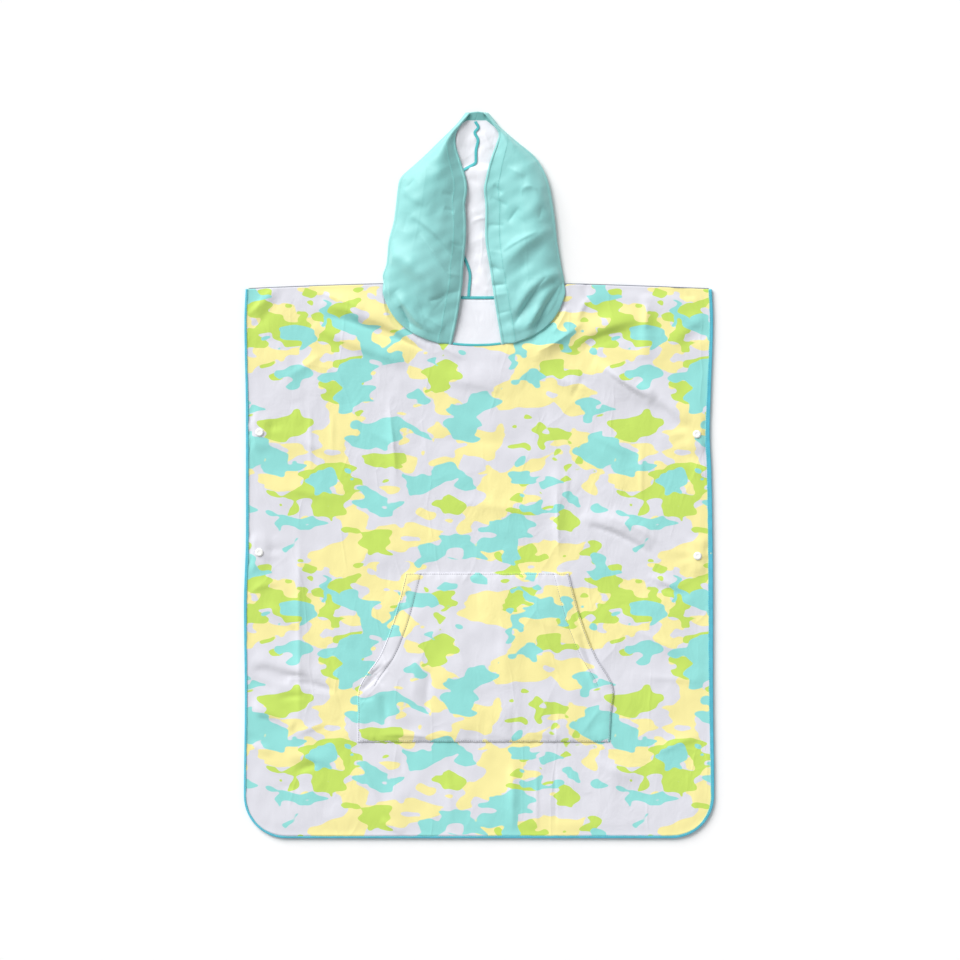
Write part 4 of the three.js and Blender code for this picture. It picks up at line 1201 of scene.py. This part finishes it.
# %% [markdown]
# ## Hood
# The hood is two mirrored halves joined by one seam over the crown. Laid flat, each half is folded back on
# itself at its outer side: from the front edge the cloth runs outwards on top, turns over at the side, and
# runs back underneath to the middle seam. A four-sided patch fills each layer between its edges: the sum
# of the blend of two opposite sides and the blend of the other two, less the blend of the corners.

# %% Hood shape
HOOD_SHAPE = [
    {"y": 169, "left_edge": -36, "right_edge": 30},
    {"y": 209, "left_edge": -27.7, "right_edge": 23.4},
    {"y": 248, "left_edge": -22, "right_edge": 17.3, "left_out": -123, "right_out": 111},
    {"y": 259, "left_edge": -21.4, "right_edge": 16, "left_out": -124.6, "right_out": 109.2},
    {"y": 275, "left_edge": -20.4, "right_edge": 13.4, "left_out": -119.8, "right_out": 106},
    {"y": 304, "left_edge": -17.6, "right_edge": 8.8, "left_out": -117, "right_out": 101.4},
    {"y": 329, "left_edge": -17.2, "right_edge": 8.5, "left_out": -110.5, "right_out": 98.8},
    {"y": 351, "left_edge": -18.3, "right_edge": 8.6, "left_out": -107.6, "right_out": 95.7},
    {"y": 371, "left_edge": -15.8, "right_edge": 6.8, "left_out": -105.3, "right_out": 92.3},
    {"y": 386, "left_edge": -17.5, "right_edge": 9.4, "left_out": -101.4, "right_out": 88.1},
    {"y": 402, "left_edge": -22.4, "right_edge": 13, "left_out": -84.5, "right_out": 80.6},
    {"y": 415, "left_edge": -26.7, "right_edge": 17.2, "left_out": -70.2, "right_out": 70.9},
    {"y": 429, "left_edge": -30.4, "right_edge": 22.3, "left_out": -55.9, "right_out": 54},
    {"y": 443, "left_edge": -30, "right_edge": 26, "left_out": -41.6, "right_out": 37},
    {"y": 452, "left_edge": -25.3, "right_edge": 20.8, "left_out": -31.9, "right_out": 26.6},
    {"y": 461, "left_edge": -18.2, "right_edge": 13.7, "left_out": -24, "right_out": 19.5},
    {"y": 470.5, "left_edge": -11, "right_edge": 5.8, "left_out": -16.9, "right_out": 11.2},
]
HOOD_RISE = [
    {"share": 0, "fold": 0.8, "left_edge": 2.2, "right_edge": 2.2, "left_swell": 0, "right_swell": 0},
    {"share": 0.06, "fold": 1.8, "left_edge": 4.0, "right_edge": 4.0, "left_swell": 4.5, "right_swell": 4},
    {"share": 0.15, "fold": 2.6, "left_edge": 5.4, "right_edge": 5.0, "left_swell": 9, "right_swell": 8},
    {"share": 0.35, "fold": 3.4, "left_edge": 6.0, "right_edge": 5.8, "left_swell": 13.5, "right_swell": 11},
    {"share": 0.6, "fold": 3.4, "left_edge": 5.8, "right_edge": 6.2, "left_swell": 15.5, "right_swell": 12},
    {"share": 0.8, "fold": 3.0, "left_edge": 5.8, "right_edge": 6.4, "left_swell": 12.5, "right_swell": 8},
    {"share": 0.93, "fold": 2.0, "left_edge": 6.4, "right_edge": 6.4, "left_swell": 3.5, "right_swell": 2},
    {"share": 1, "fold": 1.4, "left_edge": 5.6, "right_edge": 5.6, "left_swell": 0, "right_swell": 0},
]
CREST = [
    {"share": 0, "left": 0.4, "right": 0.5},
    {"share": 0.3, "left": 0.4, "right": 0.5},
    {"share": 0.55, "left": 0.42, "right": 0.66},
    {"share": 0.8, "left": 0.6, "right": 0.62},
    {"share": 1, "left": 0.66, "right": 0.5},
]
HOOD_SEAM = [
    {"y": 231, "x": -13.6},
    {"y": 241, "x": -13},
    {"y": 260, "x": -11.7},
    {"y": 271, "x": -14.3},
    {"y": 285, "x": -20.2},
    {"y": 305, "x": -31.2},
    {"y": 331, "x": -35.1},
    {"y": 357, "x": -33.8},
    {"y": 377, "x": -29.9},
    {"y": 390, "x": -26},
    {"y": 396, "x": -20},
    {"y": 401, "x": -12},
    {"y": 405, "x": -5},
    {"y": 411, "x": -4},
    {"y": 422, "x": -3.9},
    {"y": 436, "x": -1.3},
    {"y": 445, "x": -5.6},
    {"y": 452, "x": -0.8},
    {"y": 459, "x": -4.6},
    {"y": 466, "x": -2.6},
    {"y": 472, "x": -1.3},
]
HOOD = {"gap": 0.5, "edge_top": 470.5, "rim": 472.0, "corner_pull": 6, "rows": 190}
HOOD_COLUMNS = {"top": 98, "turn": 9, "under": 48}
HOOD_CROWDED = {"rows": 1.3, "columns": 1.2}
HOOD_UNEVEN = {"height": 0.4, "shortest": 16.0, "longest": 60.0}
INSIDE_RUFFLE = {"height": 0.35, "shortest": 14.0, "longest": 60.0}
HOOD_RIDGES = [
    (-126, 290, -50, 224, 13, 7.0, 0.9, -12),
    (-88, 337, -34, 287, 7, 3.2, 0.5, -4),
    (-108, 238, -55, 170, 8, 5.0, 0.5, 2),
    (-84, 396, -60, 338, 9, 1.6),
    (-104, 374, -66, 350, 8, 1.8, 0.6, 3),
    (47, 210, 108, 263, 9, 6.2, 0.7, -8),
    (60, 180, 98, 247, 8, 5.4, 0.7, -2),
    (26, 266, 92, 322, 12, 5.4, 0.7, -4),
    (40, 256, 88, 302, 8, -3.0),
    (56, 330, 84, 366, 9, 1.8),
]
HOOD_CREASES = [
    (-77, 313, -37, 255, 4.5, 2.8, 0.5, 0),
    (-102, 220, -82, 182, 3.5, -5.5, 1, 0),
    (-66, 226, -42, 236, 3.0, -2.8, 1.6, 2),
    (-45, 346, -32, 341, 2.6, -2.0, 1.6, 0),
    (-48, 366, -34, 362, 2.6, -1.4, 1.6, 0),
    (-38, 301, -20, 296, 2.6, -1.4, 1.6, 0),
    (-41, 262, -22, 258, 3.0, 1.4, 1.6, 0),
    (-43, 236, -24, 239, 2.6, -1.3, 1.6, 0),
    (-98, 372, -84, 384, 3.0, -1.4, 1.6, 2),
    (-92, 340, -98, 316, 4.0, -1.1, 1.6, 0),
    (-70, 206, -46, 190, 3.6, 2.0, 1.6, 0),
    (45, 192, 89, 259, 5.0, -5.6, 1.2, -3),
    (67, 176, 110, 252, 4.5, -4.6, 1.2, -4),
    (30, 290, 76, 315, 3.0, 2.5, 0.6, -2),
    (19, 377, 31, 365, 3.0, -2.8, 1.6, 0),
    (54, 368, 76, 369, 3.0, 2.1, 1.4, -6),
    (37, 327, 52, 347, 3.0, -2.2, 1.6, 0),
    (78, 331, 81, 349, 3.0, -1.5, 1.4, 0),
    (15, 361, 38, 349, 3.0, -2.0, 1.6, 0),
    (10, 325, 34, 324, 2.6, -1.5, 1.6, 0),
    (14, 246, 37, 248, 2.8, -2.5, 1.6, 0),
    (17, 233, 40, 236, 3.0, 1.3, 1.6, 0),
    (12, 271, 34, 266, 2.8, -1.4, 1.6, 0),
    (12, 291, 33, 287, 3.0, 1.1, 1.6, 0),
    (22, 209, 44, 214, 2.8, -1.3, 1.6, 0),
    (36, 400, 60, 388, 3.6, 1.4, 1.6, 0),
]
RIM_BEAD = {"from_rim": 1.5, "width": 1.0, "height": 1.1}
PUFF = {"reach": 8.0, "out": 2.4, "height": 2.6, "risen": 3.5, "settle": 34.0}
BACK_FOLD = {"x": -2, "y": 396, "half_width": 34, "brow_side": 4.5, "neck_side": 21, "height": 4.0, "lean": 2}
INNER_FOLDS = [
    (-14, 381, 9, 363, 3.5, 1.5, 1.6, -2),
    (-12, 326, 9, 334, 3.5, 1.6, 0.6, -2),
    (-15, 353, -1, 337, 3.5, 1.0, 1.6, 0),
    (-14, 300, 12, 311, 5, 1.2, 1.6, 0),
    (-1, 296, 13, 246, 4, 1.1, 1.4, 3),
    (-7, 346, 6, 318, 4, 1.0, 1.4, 0),
    (-10, 252, 12, 238, 4, 0.9, 1.6, 0),
    (-34, 396, -24, 464, 9, 4.2, 1.0, 0),
    (6, 446, 16, 424, 4, 1.0, 1.4, 0),
]
BROW = {"turned": HEM_TURNED, "shown": 11.0, "rise": 4.4, "x": -2.6, "flat": 7.5, "reach": 13.0}

HEM_RISE = 0.35
CALM_ENDS = {
    "puff_face": 0.1, "puff_fold": 0.15, "ridge_neck": 0.05, "ridge_fold": 0.12, "crease_neck": 0.03,
    "crease_fold": 0.06, "ruffle_seam": 0.1, "ruffle_neck": 0.08, "brow": 0.04,
}
ON_TOP = (30, 20)


def rise_at(column, share):
    return read(HOOD_RISE, "share", column, share)


def patch(first, second, start, end, across, along):
    """Coons patch in plan. first and second run along, start and end run across; corners come from
    first and second."""
    s, t = across[None, :, None], along[:, None, None]
    first, second = first[:, None], second[:, None]
    start, end = start[None], end[None]
    sides = first * (1 - s) + second * s
    ends = start * (1 - t) + end * t
    corners_low = first[:1] * (1 - s) + second[:1] * s
    corners_high = first[-1:] * (1 - s) + second[-1:] * s
    return sides + ends - corners_low * (1 - t) - corners_high * t


def under_height(x, y):
    """Lower layer of the hood: on the table, with the fold across the back of the head, small creases,
    and the brow's turned hem, which stands up towards its rim."""
    fold = BACK_FOLD
    up = y - fold["y"]
    width = np.where(up > 0, fold["brow_side"], fold["neck_side"])
    along = fade(x - fold["x"], fold["half_width"] * 0.5, fold["half_width"])
    across_back = fold["height"] * along * np.exp(-((up / width) ** 2))
    creases = np.maximum(folds_at(INNER_FOLDS, x, y, CRISP), 0)
    to_rim = np.clip((y - HOOD["rim"] + BROW["shown"]) / BROW["shown"], 0, 1)
    brow = BROW["rise"] * to_rim * fade(x - BROW["x"], BROW["flat"], BROW["reach"])
    return CLOTH / 2 + across_back + creases + brow


def grows(share, length):
    """0 at the start, rising evenly to 1 at this length."""
    return np.clip(share / length, 0, 1)


def neck_puff(plan, front_neck, across, inward):
    """Where the hood swells over the neckline. From the seam the cloth first goes up and outwards by
    out * sin(pi u), where u is its distance over the reach, and only then inwards, by reach * u^2."""
    steps_up = np.linalg.norm(np.diff(plan, axis=0), axis=-1)
    from_neck = np.concatenate([np.zeros((1, plan.shape[1])), np.cumsum(steps_up, axis=0)])
    u = np.clip(from_neck / PUFF["reach"], 0, 1)
    tangent = unit(np.gradient(front_neck, axis=0))
    outwards = np.stack([tangent[:, 1], -tangent[:, 0]], axis=1) * -inward
    ends = (grows(across, CALM_ENDS["puff_face"]) * grows(1 - across, CALM_ENDS["puff_fold"]))[None]
    shift = ends * (PUFF["out"] * np.sin(np.pi * u) + from_neck * (1 - u))
    settled = rise(from_neck, PUFF["reach"], PUFF["settle"])
    height = ends * PUFF["height"] * rise(from_neck, 0, PUFF["risen"]) * (1 - settled)
    return plan + outwards[None] * shift[..., None], height


def hood_half(side):
    """Middle surface of one half and its distance from the rim, both as grids."""
    inward = 1 if side == "left" else -1
    along = np.linspace(0, 1, HOOD["rows"]) ** HOOD_CROWDED["rows"]
    top_across = np.linspace(0, 1, HOOD_COLUMNS["top"]) ** HOOD_CROWDED["columns"]
    under_across = np.linspace(0, 1, HOOD_COLUMNS["under"])
    out_y = SHOULDER["neck_y"] + HOOD["gap"] + (HOOD["edge_top"] - SHOULDER["neck_y"] - HOOD["gap"]) * along
    out_x = read(HOOD_SHAPE, "y", side + "_out", out_y)
    outline = np.stack([out_x, out_y], axis=1)
    radius = rise_at("fold", along)
    fold = outline + np.stack([inward * radius, 0 * radius], axis=1)
    reach = NECK["left"] if side == "left" else NECK["right"]
    start_angle = math.acos((abs(FACE_GAP[side] - NECK["middle"]) / reach) ** (NECK["power"] / 2))
    angle = start_angle * (1 - top_across)
    neck_x = NECK["middle"] - inward * reach * np.cos(angle) ** (2 / NECK["power"])
    lowest = top_edge(neck_x[0], NECK["front"]) + HOOD["gap"]
    edge_y = lowest + (HOOD["edge_top"] - lowest) * along
    edge = np.stack([read(HOOD_SHAPE, "y", side + "_edge", edge_y), edge_y], axis=1)
    low_y = SHOULDER["neck_y"] - NECK["back"] + HOOD["gap"]
    seam_y = low_y + (HOOD["rim"] - low_y) * along
    seam = np.stack([read(HOOD_SEAM, "y", "x", seam_y), seam_y], axis=1)
    inset = (edge[0, 0] - neck_x[0]) * (1 - top_across) + (fold[0, 0] - neck_x[-1]) * top_across
    front_x = neck_x + inset
    front_y = top_edge(front_x, NECK["front"]) + HOOD["gap"]
    pull = top_across ** HOOD["corner_pull"]
    front_neck = np.stack([front_x, front_y + (fold[0, 1] - front_y) * pull], axis=1)
    back_x = fold[0, 0] + (seam[0, 0] - fold[0, 0]) * under_across
    back_y = top_edge(back_x, NECK["back"]) + HOOD["gap"]
    pull = (1 - under_across) ** HOOD["corner_pull"]
    back_neck = np.stack([back_x, back_y + (fold[0, 1] - back_y) * pull], axis=1)
    straight_top = edge[-1] + (fold[-1] - edge[-1]) * top_across[:, None]
    straight_under = fold[-1] + (seam[-1] - fold[-1]) * under_across[:, None]
    top_plan = patch(edge, fold, front_neck, straight_top, top_across, along)
    under_plan = patch(fold, seam, back_neck, straight_under, under_across, along)

    s, t = top_across[None], along[:, None]
    level = rise_at(side + "_edge", t) * (1 - s) + (CLOTH / 2 + 2 * radius[:, None]) * s
    power = math.log(0.5) / np.log(read(CREST, "share", side, t))
    swell = rise_at(side + "_swell", t) * np.sin(np.pi * s**power)
    x, y = top_plan[..., 0], top_plan[..., 1]
    calm = grows(t, CALM_ENDS["ridge_neck"]) * grows(1 - s, CALM_ENDS["ridge_fold"])
    ridges = calm * folds_at(HOOD_RIDGES, x, y)
    calm = grows(t, CALM_ENDS["crease_neck"]) * grows(1 - s, CALM_ENDS["crease_fold"])
    uneven = unevenness(x, y, 41, HOOD_UNEVEN["shortest"], HOOD_UNEVEN["longest"])
    creases = calm * (folds_at(HOOD_CREASES, x, y, CRISP) + HOOD_UNEVEN["height"] * uneven)
    steps_in = np.linalg.norm(np.diff(top_plan, axis=1), axis=-1)
    from_face = np.concatenate([np.zeros((len(t), 1)), np.cumsum(steps_in, axis=1)], axis=1)
    bead = np.exp(-(((from_face - RIM_BEAD["from_rim"]) / RIM_BEAD["width"]) ** 2))
    puffed, puff_height = neck_puff(top_plan, front_neck, top_across, inward)
    height = level + swell + ridges + creases + RIM_BEAD["height"] * bead + puff_height
    top = as_points(puffed[..., 0], puffed[..., 1], height)

    turn = np.linspace(np.pi / 2, -np.pi / 2, HOOD_COLUMNS["turn"] + 2)[1:-1][None]
    turn_x = out_x[:, None] + inward * radius[:, None] * (1 - np.cos(turn))
    turn_z = CLOTH / 2 + radius[:, None] * (1 + np.sin(turn))
    turned = as_points(turn_x, np.broadcast_to(out_y[:, None], turn_x.shape), turn_z)

    x, y = under_plan[..., 0], under_plan[..., 1]
    height = under_height(x, y)
    lean = BACK_FOLD["lean"] * ((height - CLOTH / 2) / BACK_FOLD["height"]) ** 2
    ruffle = unevenness(x, y, 43, INSIDE_RUFFLE["shortest"], INSIDE_RUFFLE["longest"]) + 1
    ruffle = INSIDE_RUFFLE["height"] * ruffle * grows(1 - under_across[None], CALM_ENDS["ruffle_seam"])
    below_brow = grows(1 - t, CALM_ENDS["brow"])
    calm = grows(t, CALM_ENDS["ruffle_neck"]) * below_brow
    under = as_points(x, y + lean * below_brow, height + ruffle * calm)

    grid = np.concatenate([top, turned, under], axis=1)
    steps_across = np.linalg.norm(np.diff(grid, axis=1), axis=-1)
    from_edge = np.concatenate([np.zeros((len(grid), 1)), np.cumsum(steps_across, axis=1)], axis=1)
    from_brow = (HOOD["rim"] - grid[..., 1]) * BROW["turned"] / BROW["shown"]
    return grid, np.minimum(from_edge, from_brow)


def sewn_hood(name, side, node):
    """Both faces of one half at half the cloth's thickness from its middle surface. The normal has to
    point up at a place on the top layer, which is the outside."""
    middle, from_rim = hood_half(side)
    normal = normals_of(middle)
    if normal[ON_TOP][2] < 0:
        normal = -normal
    hem = HEM_RISE * (1 - rise(from_rim, HEM_TURNED - 1.5, HEM_TURNED + 1))
    outside = middle + normal * (CLOTH / 2 + hem[..., None])
    inside = middle - normal * (CLOTH / 2)
    inside[..., 2] = np.maximum(inside[..., 2], 0)
    outside[..., 2] = np.maximum(outside[..., 2], 0)
    finishes = [hood_cloth, hood_lining_side, hood_cloth]
    half = shell(name, outside, inside, finishes, {"from_rim": from_rim})
    dress(half, "hood_cloth", node)
    print(name, "cut area in square metres:", round(area_of(middle), 4))
    return outside, inside, normal, from_rim, half


hood_left = sewn_hood("hood_left_cloth", "left", "hood_left")
hood_right = sewn_hood("hood_right_cloth", "right", "hood_right")


def hem_line(half, distance):
    """Points of the outside at one distance from the front edge, in every row but the last few."""
    outside, _, _, from_rim, _ = half
    points = []
    for r in range(2, HOOD["rows"] - 8):
        row = from_rim[r, : HOOD_COLUMNS["top"]]
        if row.max() < distance:
            break
        points.append([np.interp(distance, row, outside[r, : len(row), k]) for k in range(3)])
    return np.array(points)


hood_lines = [hem_line(hood_left, HEM_TURNED - 1), hem_line(hood_right, HEM_TURNED - 1)]
hood_stitches = sewing("hood_stitches", hood_lines, thread_teal)
dress(hood_stitches, "hood_cloth")

# %% [markdown]
# ## Tapes
# The hood's crown seam and the back neck seam are covered with narrow woven tape, and the front neckline
# is bound. Each tape is a thin crowned strip along its route, which wanders as a hand-guided tape does.

# %% Tapes
TAPE = {"width": 3.6, "neck_width": 3.0, "height": 0.9, "crown": 0.25, "columns": 9}
TAPE_RESTS = {"clear": 0.75, "back": 1.35, "neckline": 1.9}
TAPE_PAST_EDGE = {"back": 0.45, "front": 1.9}
SEAM_STRETCHES = {"high": (460.0, 388.0), "low": (312.0, 231.0)}


def tape(name, route, width, bottom, finish, slot_name, node=None):
    """A strip of this width along a route. Height across is bottom + height + crown * (1 - u^2)."""
    path = spaced(np.array(route, float), 1.2)
    smooth = np.stack([np.convolve(np.pad(path[:, k], 1, "edge"), np.ones(3) / 3, "valid")
                       for k in range(2)], axis=1)
    along = unit(np.gradient(smooth, axis=0))
    out = np.stack([along[:, 1], -along[:, 0]], axis=1)
    u = np.linspace(-1, 1, TAPE["columns"])
    x = smooth[:, :1] + out[:, :1] * u * width / 2
    y = smooth[:, 1:] + out[:, 1:] * u * width / 2
    low = bottom(x, y)
    crown = TAPE["crown"] * (1 - u**2) + 0.05 * unevenness(x, y, 51, 3, 9)
    over = as_points(x, y, low + TAPE["height"] * 0.6 + crown)
    strip = shell(name, over, as_points(x, y, low), [finish, finish, finish])
    dress(strip, slot_name, *([node] if node else []))
    return strip


def on_under_layer(x, y):
    return under_height(x, y) + CLOTH / 2 + TAPE_RESTS["clear"]


def on_back(x, y):
    return np.full(np.shape(x + y), TAPE_RESTS["back"])


def on_neckline(x, y):
    return np.full(np.shape(x + y), TAPE_RESTS["neckline"])


for part, (start, end) in SEAM_STRETCHES.items():
    seam_y = np.linspace(start, end, 60)
    route = np.stack([read(HOOD_SEAM, "y", "x", seam_y), seam_y], axis=1)
    node = "hood_seam_tape_upper" if part == "high" else "hood_seam_tape_lower"
    tape("hood_seam_tape_" + part, route, TAPE["width"], on_under_layer, seam_tape, "seam_tape", node)
neck_x = np.linspace(-90, 80, 60)
back_route = np.stack([neck_x, top_edge(neck_x, NECK["back"]) + TAPE_PAST_EDGE["back"]], axis=1)
tape("back_neck_tape_woven", back_route, TAPE["width"], on_back, seam_tape, "seam_tape", "back_neck_tape")
neck_x = np.linspace(FACE_GAP["left"] + 1.5, FACE_GAP["right"] - 1.5, 30)
front_route = np.stack([neck_x, top_edge(neck_x, NECK["front"]) + TAPE_PAST_EDGE["front"]], axis=1)
tape("front_neck_binding", front_route, TAPE["neck_width"], on_neckline, seam_tape, "seam_tape",
     "front_neck_tape")

# %% [markdown]
# ## The whole cut
# Each sheet of cloth is stated with the size it was cut to, so that its drape can be checked against it.
# The area of each hood half is measured on its middle surface and printed.

# %% Sheets
hood_left_area = area_of((hood_left[0] + hood_left[1]) / 2)
hood_right_area = area_of((hood_right[0] + hood_right[1]) / 2)
print("hood halves in square metres:", round(hood_left_area, 4), round(hood_right_area, 4))

# %% [markdown]
# ## Table and light
# A plain pale table, a large soft light from the upper left as in the photograph, a weaker one from the
# right, and an even bright surround.

# %% Table and light
FLOOR_SIZE = 12.0
FLOOR_LEVEL = -0.4 * MM
SURROUND = 0.36


def table_top():
    corners = np.array([[-1, -1, 0], [1, -1, 0], [1, 1, 0], [-1, 1, 0]]) * FLOOR_SIZE / 2 / MM
    corners[:, 2] = FLOOR_LEVEL / MM
    finish = Finish("table_top")
    grain = finish.noise(finish.place(), 40.0, detail=3.0)
    shade = finish.blend(grain, colour(250, 250, 250), colour(246, 246, 247))
    matt = finish.done(Base_Color=shade, Roughness=0.9)
    top = make_mesh("table_top", corners, np.array([[0, 1, 2, 3]]), [matt])
    return top


def far_light(name, towards, spread, power):
    """A distant light that comes from this direction. Its spread in degrees is as wide as a softbox
    looks from the table, so its shadows are soft."""
    data = bpy.data.lights.new(name, "SUN")
    data.energy, data.angle = power, math.radians(spread)
    lamp = bpy.data.objects.new(name, data)
    lamp.location = Vector(towards) * 2
    lamp.rotation_euler = Vector(towards).to_track_quat("Z", "Y").to_euler()
    bpy.context.scene.collection.objects.link(lamp)
    return lamp


table_top()
far_light("key", towards=(-1.0, 1.15, 0.95), spread=44, power=3.9)
far_light("fill", towards=(1.2, -0.5, 1.1), spread=60, power=0.3)
world = bpy.data.worlds.new("surround")
bpy.context.scene.world = world
world.use_nodes = True
world.node_tree.nodes["Background"].inputs["Color"].default_value = (1, 1, 1, 1)
world.node_tree.nodes["Background"].inputs["Strength"].default_value = SURROUND
bpy.context.scene.view_settings.view_transform = "Standard"
